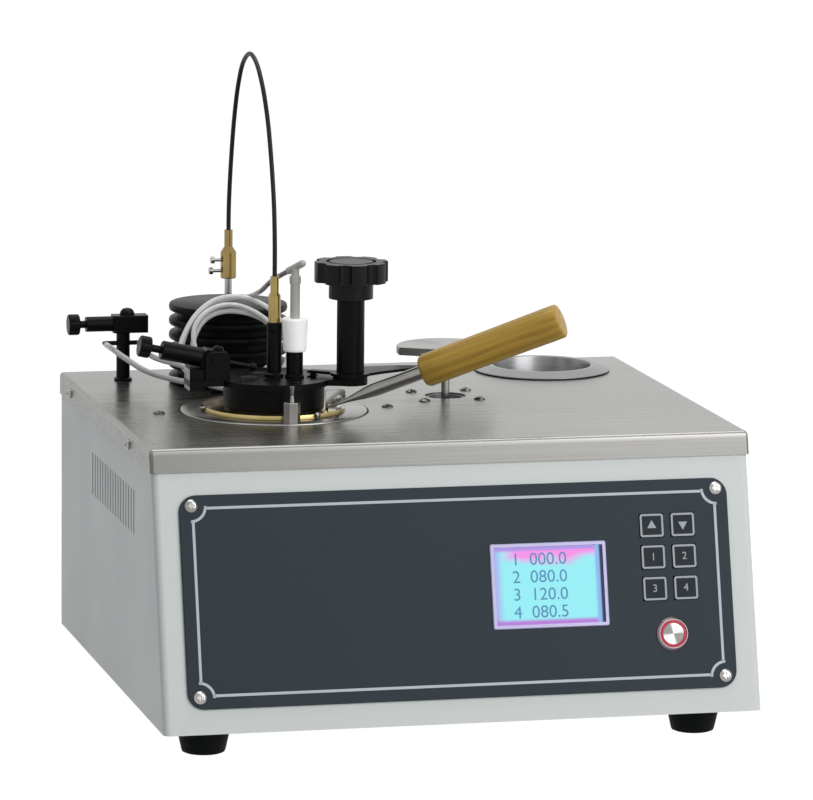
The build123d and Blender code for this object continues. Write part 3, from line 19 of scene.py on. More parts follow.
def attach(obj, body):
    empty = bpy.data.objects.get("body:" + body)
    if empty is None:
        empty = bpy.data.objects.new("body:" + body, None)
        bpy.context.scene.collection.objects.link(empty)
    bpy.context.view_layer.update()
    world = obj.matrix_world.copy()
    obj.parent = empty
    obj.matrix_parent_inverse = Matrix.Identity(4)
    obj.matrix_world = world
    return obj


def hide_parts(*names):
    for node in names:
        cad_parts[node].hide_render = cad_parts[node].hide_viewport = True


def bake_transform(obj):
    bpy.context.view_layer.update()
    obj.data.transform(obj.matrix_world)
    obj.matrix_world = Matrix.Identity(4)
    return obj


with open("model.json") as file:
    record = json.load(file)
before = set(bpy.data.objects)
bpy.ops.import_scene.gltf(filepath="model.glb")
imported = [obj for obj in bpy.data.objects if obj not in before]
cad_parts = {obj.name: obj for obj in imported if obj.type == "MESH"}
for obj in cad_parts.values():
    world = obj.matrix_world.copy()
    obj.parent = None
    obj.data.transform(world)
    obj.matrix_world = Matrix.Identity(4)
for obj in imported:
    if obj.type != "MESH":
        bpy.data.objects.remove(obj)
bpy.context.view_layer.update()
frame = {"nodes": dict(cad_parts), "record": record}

logging.basicConfig(level=logging.INFO, format="%(message)s")
log = logging.getLogger("tester")

Colour = tuple[float, float, float]
Point = tuple[float, float, float]
Outline = list[tuple[float, float]]
Socket = bpy.types.NodeSocket
Value = Union[Socket, float, Sequence[float]]
Owner = Union[bpy.types.Material, bpy.types.World]

MM = 0.001
# The cover's top, and the top edge and lean of the front.
DECK = 0.2128
FRONT_Y = -0.15305
LEAN = math.atan2(50.9, 190.8)
# Where the main pieces stand on the cover.
CUP = Vector((-0.0952, FRONT_Y + 0.1444, DECK))
MOTOR = Vector((-0.1008, FRONT_Y + 0.2760, DECK))
POST = Vector((-0.1760, FRONT_Y + 0.2939, DECK))
SENSOR = Vector((-0.0817, FRONT_Y + 0.1374, DECK))
COIL = Vector((-0.1160, FRONT_Y + 0.2190, DECK + 0.0386))
GLAND = Vector((-0.1200, FRONT_Y + 0.2260, DECK + 0.0070))
WELL = Vector((0.1423, FRONT_Y + 0.2870, DECK))
# The cup's handle: its turn about the upright, and its rise from level.
HANDLE_TURN = math.radians(-26.0)
HANDLE_RISE = math.radians(22.5)
# Edges sharper than this stay sharp where the faces beside them are smooth.
SHARP = math.radians(34)


class Axis(Enum):
    """The direction that a brushed pattern runs in."""

    X = (1.0, 0.0, 0.0)
    Y = (0.0, 1.0, 0.0)
    Z = (0.0, 0.0, 1.0)


def front_matrix(x: float, drop: float, height: float = 0.0) -> Matrix:
    """A place on the sloping front: local X across, local Y up the slope, local Z out of it.

    Args:
        x: across, from the middle.
        drop: down the slope from its top edge.
        height: out of the sheet.

    Returns:
        The placing matrix.
    """
    up = Vector((0, math.sin(LEAN), math.cos(LEAN)))
    out = Vector((0, -math.cos(LEAN), math.sin(LEAN)))
    origin = Vector((x, FRONT_Y, DECK)) - up * drop + out * height
    return Matrix.Translation(origin) @ Matrix((Vector((1, 0, 0)), up, out)).transposed().to_4x4()


# ------------------------------------------------------------------ materials
class Graph:
    """A material's or world's node tree, built by short calls."""

    def __init__(self, owner: Owner, output: str = "OutputMaterial") -> None:
        """Empties the owner's tree and adds its output.

        Args:
            owner: the material or world.
            output: the output node's type.
        """
        owner.use_nodes = True
        self.owner = owner
        self.tree = owner.node_tree
        self.tree.nodes.clear()
        self.output = self.node(output)

    def put(self, target: Socket, value: Value) -> None:
        """Links or sets one input.

        Args:
            target: the input socket.
            value: an output socket to link, or a plain value.
        """
        if isinstance(value, Socket):
            self.tree.links.new(value, target)
        else:
            target.default_value = value

    def node(self, kind: str, inputs: Optional[dict] = None, **settings: object) -> bpy.types.Node:
        """Adds a node.

        Args:
            kind: the node type's name without its ShaderNode prefix.
            inputs: values or sockets by input name or index.
            settings: the node's own settings.

        Returns:
            The new node.
        """
        made = self.tree.nodes.new("ShaderNode" + kind)
        for key, value in settings.items():
            setattr(made, key, value)
        for key, value in (inputs or {}).items():
            self.put(made.inputs[key], value)
        return made

    def math(self, operation: str, *values: Union[Socket, float]) -> Socket:
        """A math node.

        Args:
            operation: the operation's name.
            values: its inputs in order.

        Returns:
            The result.
        """
        return self.node("Math", dict(enumerate(values)), operation=operation).outputs[0]

    def looked_at(self) -> Socket:
        """1 for what the camera, a reflection or a clear piece sees, and 0 for light on the object.

        Returns:
            The share.
        """
        rays = self.node("LightPath").outputs
        share = rays["Is Camera Ray"]
        for kind in ("Is Glossy Ray", "Is Transmission Ray"):
            share = self.math("MAXIMUM", share, rays[kind])
        return share

    def end_in_mix(self, share: Socket, first: bpy.types.Node, second: bpy.types.Node) -> None:
        """Ends the tree in a mix of two shaders.

        Args:
            share: the share of the second.
            first: the shader at 0.
            second: the shader at 1.
        """
        mix = self.node("MixShader", {0: share, 1: first.outputs[0], 2: second.outputs[0]})
        self.put(self.output.inputs[0], mix.outputs[0])


class Surface(Graph):
    """One material's tree round a principled shader."""

    def __init__(self, name: str) -> None:
        """Starts a material.

        Args:
            name: the material's name.
        """
        super().__init__(bpy.data.materials.new(name))
        self.shader = self.node("BsdfPrincipled")
        self.put(self.output.inputs[0], self.shader.outputs[0])

    def set(self, **values: Value) -> None:
        """Sets the shader's inputs; underscores stand for spaces.

        Args:
            values: the shader's inputs by name.
        """
        for key, value in values.items():
            target = self.shader.inputs[key.replace("_", " ")]
            self.put(target, (*value, 1.0) if isinstance(value, tuple) and target.type == "RGBA" else value)

    def place(self, scale: Sequence[float] = (1.0, 1.0, 1.0), offset: Sequence[float] = (0.0, 0.0, 0.0),
              turn: Sequence[float] = (0.0, 0.0, 0.0)) -> Socket:
        """Object coordinates through a mapping.

        Args:
            scale: the mapping's scale.
            offset: the mapping's location.
            turn: the mapping's rotation in radians.

        Returns:
            The vector socket.
        """
        coords = self.node("TexCoord").outputs["Object"]
        inputs = {"Vector": coords, "Scale": scale, "Location": offset, "Rotation": turn}
        return self.node("Mapping", inputs).outputs[0]

    def about(self, centre: Point = (0.0, 0.0, 0.0)) -> Sequence[Socket]:
        """Object coordinates counted from a centre.

        Args:
            centre: the centre.

        Returns:
            The sockets of X, Y and Z.
        """
        return self.node("SeparateXYZ", {0: self.place(offset=tuple(-c for c in centre))}).outputs

    def noise(self, vector: Socket, scale: float, detail: float = 3.0, rough: float = 0.5) -> Socket:
        """Noise strength.

        Args:
            vector: where it is read.
            scale: its scale.
            detail: its number of octaves.
            rough: how strong the fine octaves are.

        Returns:
            The factor socket.
        """
        inputs = {"Vector": vector, "Scale": scale, "Detail": detail, "Roughness": rough}
        return self.node("TexNoise", inputs).outputs[0]

    def spread(self, value: Socket, low: float, high: float, start: float = 0.0, end: float = 1.0) -> Socket:
        """Maps a value from start..end to low..high, clamped.

        Args:
            value: the value.
            low: the result at start.
            high: the result at end.
            start: where the result is low.
            end: where the result is high.

        Returns:
            The mapped socket.
        """
        inputs = {"Value": value, "From Min": start, "From Max": end, "To Min": low, "To Max": high}
        return self.node("MapRange", inputs).outputs[0]

    def step(self, value: Socket, start: float, end: float) -> Socket:
        """0 up to start, 1 from end on, and a ramp between."""
        return self.spread(value, 0.0, 1.0, start, end)

    def weigh(self, first: Socket, second: Socket, share: float) -> Socket:
        """Adds two values, the second with its share and the first with the rest."""
        return self.math("ADD", self.math("MULTIPLY", first, 1 - share), self.math("MULTIPLY", second, share))

    def radius(self, x: Socket, y: Socket) -> Socket:
        """Distance from the axis that x and y are counted from."""
        return self.math("SQRT", self.math("ADD", self.math("MULTIPLY", x, x), self.math("MULTIPLY", y, y)))

    def blend(self, factor: Union[Socket, float], first: Union[Socket, Colour], second: Union[Socket, Colour],
              mode: str = "MIX") -> Socket:
        """Mixes two colours.

        Args:
            factor: the share of the second.
            first: the colour at 0.
            second: the colour at 1.
            mode: how the second goes onto the first.

        Returns:
            The mixed colour.
        """
        mix = self.node("Mix", data_type="RGBA", blend_type=mode)
        self.put(mix.inputs[0], factor)
        for index, value in ((6, first), (7, second)):
            self.put(mix.inputs[index], (*value, 1.0) if isinstance(value, tuple) else value)
        return mix.outputs[2]

    def bump(self, height: Socket, strength: float, distance: float) -> Socket:
        """Bump from a height.

        Args:
            height: the height socket.
            strength: how strong it is.
            distance: its depth in metres.

        Returns:
            The normal socket.
        """
        return self.node("Bump", {"Height": height, "Strength": strength, "Distance": distance}).outputs[0]


@dataclass(frozen=True)
class Finish:
    """A plain surface with a little uneven colour, gloss and grain.

    Attributes:
        name: the material's name.
        colour: linear base colour.
        roughness: mean roughness.
        metallic: how metallic it is.
        vary: how much the colour varies.
        grain: scale of the fine grain.
        bumps: strength of the grain's bump.
        specular: how strong its plain reflection is.
    """

    name: str
    colour: Colour
    roughness: float
    metallic: float = 0.0
    vary: float = 0.06
    grain: float = 900.0
    bumps: float = 0.05
    specular: float = 0.5

    def shade(self, factor: float) -> Colour:
        """The base colour made lighter or darker."""
        return tuple(min(1.0, c * factor) for c in self.colour)

    def toned(self, g: Surface, tone: Socket, start: float, end: float, vary: float) -> Socket:
        """The base colour, darker where a pattern is low and lighter where it is high.

        Args:
            g: the surface in work.
            tone: the pattern.
            start: the pattern's value where the colour is darkest.
            end: its value where the colour is lightest.
            vary: how far the colour goes both ways.

        Returns:
            The colour.
        """
        return g.blend(g.step(tone, start, end), self.shade(1 - vary), self.shade(1 + vary))

    def gloss(self, g: Surface, tone: Socket, low: float, high: float) -> Socket:
        """The roughness, which goes with a pattern from a low share of its mean to a high one."""
        return g.spread(tone, self.roughness * low, self.roughness * high, 0.3, 0.7)

    def build(self) -> bpy.types.Material:
        """Makes the material.

        Returns:
            The material.
        """
        g = Surface(self.name)
        place = g.place()
        cloud = g.noise(place, 14.0, 4.0, 0.6)
        g.set(
            Base_Color=self.toned(g, cloud, 0.3, 0.7, self.vary),
            Roughness=self.gloss(g, cloud, 0.88, 1.12),
            Metallic=self.metallic,
            Coat_Roughness=0.12,
            Specular_IOR_Level=self.specular,
            Normal=g.bump(g.noise(place, self.grain, 2.0, 0.5), self.bumps, 0.0001),
        )
        self.extra(g)
        return g.owner

    def extra(self, g: Surface) -> None:
        """Lets a finish add its own details.

        Args:
            g: the surface in work.
        """


@dataclass(frozen=True)
class Metal(Finish):
    """Bare metal with a little uneven colour and gloss."""

    metallic: float = 1.0


@dataclass(frozen=True)
class Brushed(Metal):
    """Metal with fine straight brush lines.

    Attributes:
        along: the axis that the lines run along.
        streak: how much the lines vary the colour.
        anisotropic: how far the lines stretch a reflection.
    """

    along: Axis = Axis.X
    streak: float = 0.12
    anisotropic: float = 0.7

    def lines(self, g: Surface, along: float, across: float, detail: float, rough: float) -> Socket:
        """Noise drawn out along the brush lines."""
        scale = tuple(along if part else across for part in self.along.value)
        return g.noise(g.place(scale), 1.0, detail, rough)

    def extra(self, g: Surface) -> None:
        """Adds the brush lines to colour, roughness and normal.

        Args:
            g: the surface in work.
        """
        hair = self.lines(g, 6.0, 900.0, 3.0, 0.6)
        tone = g.weigh(hair, self.lines(g, 1.2, 160.0, 2.0, 0.5), 0.4)
        g.set(
            Base_Color=self.toned(g, tone, 0.32, 0.68, self.streak),
            Roughness=self.gloss(g, tone, 0.8, 1.25),
            Anisotropic=self.anisotropic,
            Normal=g.bump(hair, self.bumps, 0.00005),
        )


@dataclass(frozen=True)
class Turned(Metal):
    """Metal turned about an upright axis, with rings of tool marks by height and radius.

    Attributes:
        centre: a point of the axis.
        pitch: scale of the tool marks.
    """

    centre: Point = (0.0, 0.0, 0.0)
    pitch: float = 2600.0

    def extra(self, g: Surface) -> None:
        """Adds the tool marks.

        Args:
            g: the surface in work.
        """
        x, y, z = g.about(self.centre)
        along = g.math("ADD", g.radius(x, y), z)
        marks = g.noise(g.node("CombineXYZ", {0: along}).outputs[0], self.pitch, 2.0, 0.6)
        g.set(
            Base_Color=self.toned(g, marks, 0.3, 0.7, 0.1),
            Roughness=self.gloss(g, marks, 0.8, 1.3),
            Normal=g.bump(marks, self.bumps, 0.00004),
        )


@dataclass(frozen=True)
class CoverSteel(Brushed):
    """The cover's brushed steel: soft wide bands on top, a painted dark reflection over the left of the top,
    and a skirt darkened with painted shade.
    """

    def extra(self, g: Surface) -> None:
        """Adds the brush lines, the bands, the painted dark reflection on the top and the painted shade of
        the skirt.

        Args:
            g: the surface in work.
        """
        super().extra(g)
        hair = self.lines(g, 5.0, 900.0, 3.0, 0.6)
        tone = g.weigh(hair, g.noise(g.place((7.0, 2.0, 2.0)), 1.0, 2.0, 0.5), 0.65)
        x, _, z = g.about()
        top = self.toned(g, tone, 0.34, 0.66, self.streak)
        # Painted reflection: the top is darkened over its left and middle, as if it mirrored dark things.
        painted_dark_reflection = g.blend(g.step(x, 0.00, 0.13), (0.72, 0.72, 0.71), (0.92, 0.92, 0.92))
        # Painted shade: the skirt is the same steel as the top, painted less than half as bright.
        skirt = g.blend(g.step(x, -0.10, 0.17), self.shade(0.44), self.shade(0.46))
        below = g.spread(z, 1, 0, DECK - 0.0045, DECK - 0.0015)
        g.set(Base_Color=g.blend(below, g.blend(1.0, top, painted_dark_reflection, "MULTIPLY"), skirt))


@dataclass(frozen=True)
class Varnished(Finish):
    """Varnished wood with straight grain along the handle.

    Attributes:
        dark: the colour of the dark grain.
    """

    dark: Colour = (0.2, 0.1, 0.03)

    def along(self, g: Surface, scale: Sequence[float]) -> Socket:
        """Coordinates with their first axis along the handle, then scaled.

        Args:
            g: the surface in work.
            scale: the scale along the handle and across it.

        Returns:
            The vector socket.
        """
        level = g.place(turn=(0.0, 0.0, -HANDLE_TURN))
        tipped = g.node("Mapping", {"Vector": level, "Rotation": (0.0, HANDLE_RISE, 0.0)}).outputs[0]
        return g.node("Mapping", {"Vector": tipped, "Scale": scale}).outputs[0]

    def extra(self, g: Surface) -> None:
        """Adds the grain and pores.

        Args:
            g: the surface in work.
        """
        warp = g.noise(self.along(g, (10.0, 30.0, 30.0)), 1.0, 2.0, 0.5)
        bent = g.node("CombineXYZ", {1: g.math("MULTIPLY", warp, 1.2)}).outputs[0]
        shifted = g.node("VectorMath", {0: self.along(g, (5.0, 330.0, 330.0)), 1: bent}).outputs[0]
        fibres = g.noise(shifted, 1.0, 4.0, 0.6)
        tone = g.weigh(fibres, g.noise(self.along(g, (45.0, 2400.0, 2400.0)), 1.0, 2.0, 0.5), 0.3)
        g.set(
            Base_Color=g.blend(g.step(tone, 0.36, 0.64), self.dark, self.colour),
            Roughness=g.spread(fibres, 0.36, 0.50),
            Coat_Weight=0.08,
            Coat_Roughness=0.25,
            Normal=g.bump(tone, 0.10, 0.0003),
        )


@dataclass(frozen=True)
class Milky(Finish):
    """Soft plastic that lets some light in under its surface.

    Attributes:
        glow: strength of a painted glow, light that the plastic gives out though it is no lamp.
    """

    glow: float = 0.0

    def extra(self, g: Surface) -> None:
        """Adds light under the surface and the painted glow.

        Args:
            g: the surface in work.
        """
        g.set(Subsurface_Weight=0.25, Subsurface_Radius=(0.004, 0.004, 0.004), Subsurface_Scale=1.0)
        # Painted glow: the plastic lights itself, though it is no lamp.
        if self.glow > 0:
            g.set(Emission_Color=self.colour, Emission_Strength=self.glow)


@dataclass(frozen=True)
class CordSkin(Milky):
    """The lead's silicone, with painted shade darkening the stretch that rises to the sensor."""

    def extra(self, g: Surface) -> None:
        """Adds the painted shade of the stretch up to the sensor to the light under the surface.

        Args:
            g: the surface in work.
        """
        super().extra(g)
        # Painted shade: the same silicone, made darker on the stretch high above the cover.
        shaded_stretch = g.step(g.about()[2], DECK + 0.0725, DECK + 0.0780)
        cloud = g.noise(g.place(), 60.0, 3.0, 0.6)
        tone = g.blend(g.step(cloud, 0.3, 0.7), self.shade(0.90), self.shade(1.06))
        g.set(Base_Color=g.blend(shaded_stretch, tone, self.shade(0.40)))


@dataclass(frozen=True)
class LitPanel(Finish):
    """The lit display: pale cyan, a magenta band along its top, violet, blue and dark strips at its edges.

    Attributes:
        centre: the display's middle.
        half_width: half its width.
        half_height: half its height along the slope.
    """

    centre: Point = (0.0, 0.0, 0.0)
    half_width: float = 0.0391
    half_height: float = 0.0270

    def extra(self, g: Surface) -> None:
        """Adds the colour field and its glow.

        Args:
            g: the surface in work.
        """
        x, _, z = g.about(self.centre)
        across = g.math("DIVIDE", x, self.half_width)
        up = g.math("DIVIDE", z, self.half_height * math.cos(LEAN))
        cloud = g.noise(g.place((30.0, 30.0, 60.0)), 1.0, 2.0, 0.5)
        lowered = g.math("ADD", up, g.spread(cloud, -0.16, 0.16, 0.3, 0.7))
        band = g.math("MULTIPLY", g.step(lowered, 0.62, 0.84), g.step(across, -0.90, -0.60))
        shade = g.blend(g.step(across, -0.99, -0.84), (0.44, 0.45, 0.90), (0.32, 0.90, 0.96))
        layers = (
            (band, (0.98, 0.30, 0.86)),
            (g.step(up, 0.88, 0.94), (0.46, 0.32, 0.84)),
            (g.spread(up, 1, 0, -0.93, -0.84), (0.50, 0.22, 0.72)),
            (g.step(across, 0.84, 0.89), (0.28, 0.50, 0.90)),
            (g.step(across, 0.93, 0.96), (0.025, 0.03, 0.09)),
        )
        for share, colour in layers:
            shade = g.blend(share, shade, colour)
        g.set(Emission_Color=shade, Emission_Strength=0.92, Specular_IOR_Level=0.1)


@dataclass(frozen=True)
class Spun(Finish):
    """Spun metal on the sloping front, with a painted highlight: bright and dark quarters round a middle.

    Attributes:
        centre: the middle.
    """

    centre: Point = (0.0, 0.0, 0.0)

    def extra(self, g: Surface) -> None:
        """Adds the painted highlight's quarters and the fine rings.

        Args:
            g: the surface in work.
        """
        x, _, rise = g.about(self.centre)
        z = g.math("DIVIDE", rise, math.cos(LEAN))
        # Painted highlight: the bow-tie reflection of spun metal, drawn as bright and dark quarters.
        painted_highlight = g.math("SINE", g.math("MULTIPLY_ADD", g.math("ARCTAN2", z, x), 2.0, -0.35))
        rings = g.noise(g.node("CombineXYZ", {0: g.radius(x, z)}).outputs[0], 9000.0, 1.0, 0.5)
        tone = g.math("ADD", painted_highlight, g.spread(rings, -0.15, 0.15))
        g.set(
            Base_Color=g.blend(g.step(tone, -0.45, 0.45), self.shade(0.22), self.shade(1.0)),
            Normal=g.bump(rings, self.bumps, 0.00003),
        )


FINISHES: dict[str, Finish] = {
    "cabinet_paint": Finish("cabinet paint", (0.69, 0.72, 0.705), 0.42, vary=0.012, grain=2200.0, bumps=0.06,
                            specular=0.25),
    "zinc_sheet": Brushed("zinc sheet", (0.50, 0.51, 0.52), 0.45, streak=0.05),
    "cover_steel": CoverSteel("cover steel", (0.300, 0.296, 0.282), 0.27, streak=0.025, bumps=0.01,
                              anisotropic=0.3),
    "rubber": Finish("foot rubber", (0.004, 0.0046, 0.005), 0.62, vary=0.12, bumps=0.15, specular=0.07),
    "bright_screws": Metal("bright steel", (0.33, 0.325, 0.31), 0.20, vary=0.25, bumps=0.04),
    "panel_film": Finish("panel film", (0.027, 0.039, 0.049), 0.42, vary=0.04, grain=3200.0, bumps=0.04,
                         specular=0.12),
    "bezel_silver": Finish("bezel silver", (0.38, 0.36, 0.54), 0.34, metallic=0.3, vary=0.03, specular=0.3),
    "display": LitPanel("display panel", (0.012, 0.014, 0.018), 0.30,
                        centre=tuple(front_matrix(0.0639, 0.10385, 0.0022).translation)),
    "key_caps": Finish("key caps", (0.010, 0.014, 0.018), 0.34, vary=0.05, specular=0.12),
    "power_red": Spun("button cap", (0.74, 0.73, 0.69), 0.30, metallic=0.4, bumps=0.03,
                      centre=tuple(front_matrix(0.1513, 0.1412, 0.004).translation)),
    "board": Finish("circuit board", (0.02, 0.12, 0.05), 0.40),
    "black_plastic": Finish("black plastic", (0.0026, 0.0026, 0.0029), 0.38, vary=0.10, bumps=0.10,
                            specular=0.055),
    "knob_black": Finish("knob black", (0.0040, 0.0040, 0.0044), 0.34, vary=0.12, bumps=0.08, specular=0.14),
    "brass": Turned("brass", (0.42, 0.335, 0.145), 0.20, centre=tuple(CUP)),
    "fitting_brass": Metal("fitting brass", (0.27, 0.195, 0.075), 0.17, vary=0.30, bumps=0.04),
    "iron_core": Finish("dark iron", (0.05, 0.05, 0.05), 0.60, metallic=0.7),
    "ceramic": Finish("ceramic", (0.62, 0.58, 0.50), 0.75),
    "handle_steel": Metal("polished ferrule", (0.235, 0.23, 0.215), 0.14, vary=0.35, bumps=0.02),
    "handle_wood": Varnished("varnished wood", (0.53, 0.335, 0.055), 0.40, dark=(0.30, 0.172, 0.022),
                             specular=0.25),
    "black_steel": Finish("blackened steel", (0.0028, 0.0028, 0.0031), 0.32, vary=0.15, bumps=0.08,
                          specular=0.075),
    "housing_black": Finish("housing black", (0.0025, 0.0025, 0.0028), 0.40, vary=0.12, specular=0.08),
    "motor_steel": Finish("motor can", (0.25, 0.25, 0.26), 0.45, metallic=0.8),
    "disc_steel": Brushed("disc steel", (0.31, 0.31, 0.298), 0.34, streak=0.06),
    "flex_sheath": Finish("shaft sheath", (0.006, 0.006, 0.0065), 0.40, specular=0.2),
    # The white plug and the sensor's sheath carry a painted glow, though neither is a lamp.
    "plug_white": Milky("white plug", (0.96, 0.97, 0.96), 0.42, vary=0.02, specular=0.3, glow=0.17),
    "lead_white": CordSkin("white silicone", (0.78, 0.78, 0.77), 0.30),
    "probe_milky": Milky("milky sheath", (0.41, 0.405, 0.385), 0.30, vary=0.10, specular=0.4, glow=0.10),
    "hose_clear": Milky("milky hose", (0.44, 0.44, 0.43), 0.22, vary=0.05, specular=0.4),
    "well_aluminium": Turned("cast aluminium", (0.25, 0.25, 0.256), 0.30, centre=tuple(WELL), pitch=900.0),
    "print_grey": Finish("pale print", (0.55, 0.59, 0.65), 0.45, vary=0.04, specular=0.2),
    "key_line": Finish("key line", (0.40, 0.44, 0.48), 0.45, vary=0.05, specular=0.2),
    "lcd_ink": Finish("display ink", (0.14, 0.33, 0.58), 0.5, specular=0.1),
    "red_glow": Finish("red ring", (0.58, 0.045, 0.09), 0.30, specular=0.3),
    "collar_silver": Metal("button collar", (0.20, 0.165, 0.17), 0.30, vary=0.25, bumps=0.03),
    "deck_steel": Metal("deck screws", (0.15, 0.148, 0.14), 0.24, vary=0.35, bumps=0.04),
    "stud_steel": Metal("stud steel", (0.21, 0.205, 0.19), 0.22, vary=0.30, bumps=0.04),
    # Painted shade: a near-black film for the shade in the gap round the cup's steel ring.
    "groove_shade": Finish("groove_shade", (0.012, 0.012, 0.012), 0.6, specular=0.05),
    "ring_steel": Turned("ring steel", (0.27, 0.265, 0.25), 0.26, centre=tuple(CUP), bumps=0.03),
}

# Solids whose finish differs from that of their record slot.
OVERRIDES = {
    "sensor_probe": "probe_milky", "vessel_ring": "ring_steel", "motor_housing": "housing_black",
    "power_bezel": "collar_silver", "deck_screws": "deck_steel", "star_knob": "knob_black",
    "locating_stud": "stud_steel", "coupling_screws": "stud_steel", "cup_screws": "stud_steel",
    "spindle_coupling": "fitting_brass", "motor_coupling": "fitting_brass",
}


# ------------------------------------------------------------------ mesh helpers
class Shop:
    """Turns bmeshes into finished pieces of the object."""

    def __init__(self) -> None:
        """Builds every finish once."""
        self.materials = {name: finish.build() for name, finish in FINISHES.items()}

    def dress_nodes(self) -> None:
        """Gives every solid of the frame the finish of its material slot."""
        for part in frame["record"]["subparts"]:
            node = frame["nodes"][part["node"]]
            node.data.materials.clear()
            finish = OVERRIDES.get(part["node"], part["material_slot"])
            node.data.materials.append(self.materials[finish])

    def piece(self, name: str, mesh: bmesh.types.BMesh, body: Optional[str], finish: str,
              smooth: bool = False) -> bpy.types.Object:
        """Makes a piece of a finished bmesh.

        Args:
            name: the piece's name.
            mesh: the shape, in place; it is freed.
            body: the body that it moves with, or None for none.
            finish: its finish.
            smooth: whether its faces are smooth.

        Returns:
            The new object.
        """
        for face in mesh.faces:
            face.smooth = smooth
        for edge in mesh.edges:
            if len(edge.link_faces) == 2 and edge.calc_face_angle(0.0) > SHARP:
                edge.smooth = False
        data = bpy.data.meshes.new(name)
        mesh.to_mesh(data)
        mesh.free()
        made = bpy.data.objects.new(name, data)
        bpy.context.scene.collection.objects.link(made)
        data.materials.append(self.materials[finish])
        if body is not None:
            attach(made, body)
        log.info("piece %s, %d faces", name, len(data.polygons))
        return made


def melted(holder: bpy.types.Object) -> bmesh.types.BMesh:
    """Takes a curve object's shape and removes the object.

    Args:
        holder: the curve object.

    Returns:
        Its shape as a bmesh.
    """
    data = bpy.data.meshes.new_from_object(holder.evaluated_get(bpy.context.evaluated_depsgraph_get()))
    made = bmesh.new()
    made.from_mesh(data)
    curve = holder.data
    bpy.data.objects.remove(holder)
    bpy.data.curves.remove(curve)
    bpy.data.meshes.remove(data)
    return made


def text_mesh(text: str, size: float, depth: float) -> bmesh.types.BMesh:
    """Plain figures as a thin solid, centred on the origin.

    Args:
        text: the figures.
        size: their size.
        depth: how thick they are.

    Returns:
        The bmesh.
    """
    curve = bpy.data.curves.new("figures", "FONT")
    curve.body = text
    curve.size = size
    curve.extrude = depth / 2
    curve.align_x = "CENTER"
    curve.align_y = "CENTER"
    holder = bpy.data.objects.new("figures", curve)
    bpy.context.scene.collection.objects.link(holder)
    return melted(holder)


def nurbs(name: str, points: Sequence[Point], radius: float) -> bpy.types.Object:
    """An open smooth cord through control points.

    Args:
        name: the object's name.
        points: the control points.
        radius: the cord's radius.

    Returns:
        The curve object.
    """
    curve = bpy.data.curves.new(name, "CURVE")
    curve.dimensions = "3D"
    curve.bevel_depth = radius
    curve.bevel_resolution = 4
    curve.resolution_u = 8
    curve.use_fill_caps = True
    spline = curve.splines.new("NURBS")
    spline.points.add(len(points) - 1)
    for target, point in zip(spline.points, points):
        target.co = (*point, 1.0)
    spline.order_u = 3
    spline.use_endpoint_u = True
    made = bpy.data.objects.new(name, curve)
    bpy.context.scene.collection.objects.link(made)
    return made


def bending_tube(shop: Shop, name: str, points: Sequence[Point], radius: float,
                 finish: str) -> bpy.types.Object:
    """A curved tube from the cabinet, where it starts, to the lid, where it ends.

    Args:
        shop: the piece maker.
        name: the piece's name.
        points: the control points.
        radius: the tube's radius.
        finish: its finish.

    Returns:
        The mesh object.
    """
    mesh = melted(nurbs(name + "_line", points, radius))
    tube = shop.piece(name, mesh, None, finish, smooth=True)
    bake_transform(tube)
    return tube


def spin_round(mesh: bmesh.types.BMesh, points: Outline, closed: bool, steps: int) -> None:
    """Spins an outline once round the local Z axis.

    Args:
        mesh: the bmesh in work.
        points: (radius, height) points in metres.
        closed: whether the last point joins the first.
        steps: how many steps the turn has.
    """
    verts = [mesh.verts.new((radius, 0.0, height)) for radius, height in points]
    pairs = list(zip(verts, verts[1:])) + ([(verts[-1], verts[0])] if closed else [])
    edges = [mesh.edges.new(pair) for pair in pairs]
    bmesh.ops.spin(mesh, geom=verts + edges, cent=(0, 0, 0), axis=(0, 0, 1), angle=2 * math.pi, steps=steps,
                   use_merge=True)


def curve_length(points: Sequence[Point]) -> float:
    """Measures a smooth cord.

    Args:
        points: its control points.

    Returns:
        Its length.
    """
    line = melted(nurbs("measure", points, 0.0))
    total = sum(edge.calc_length() for edge in line.edges)
    line.free()
    return total


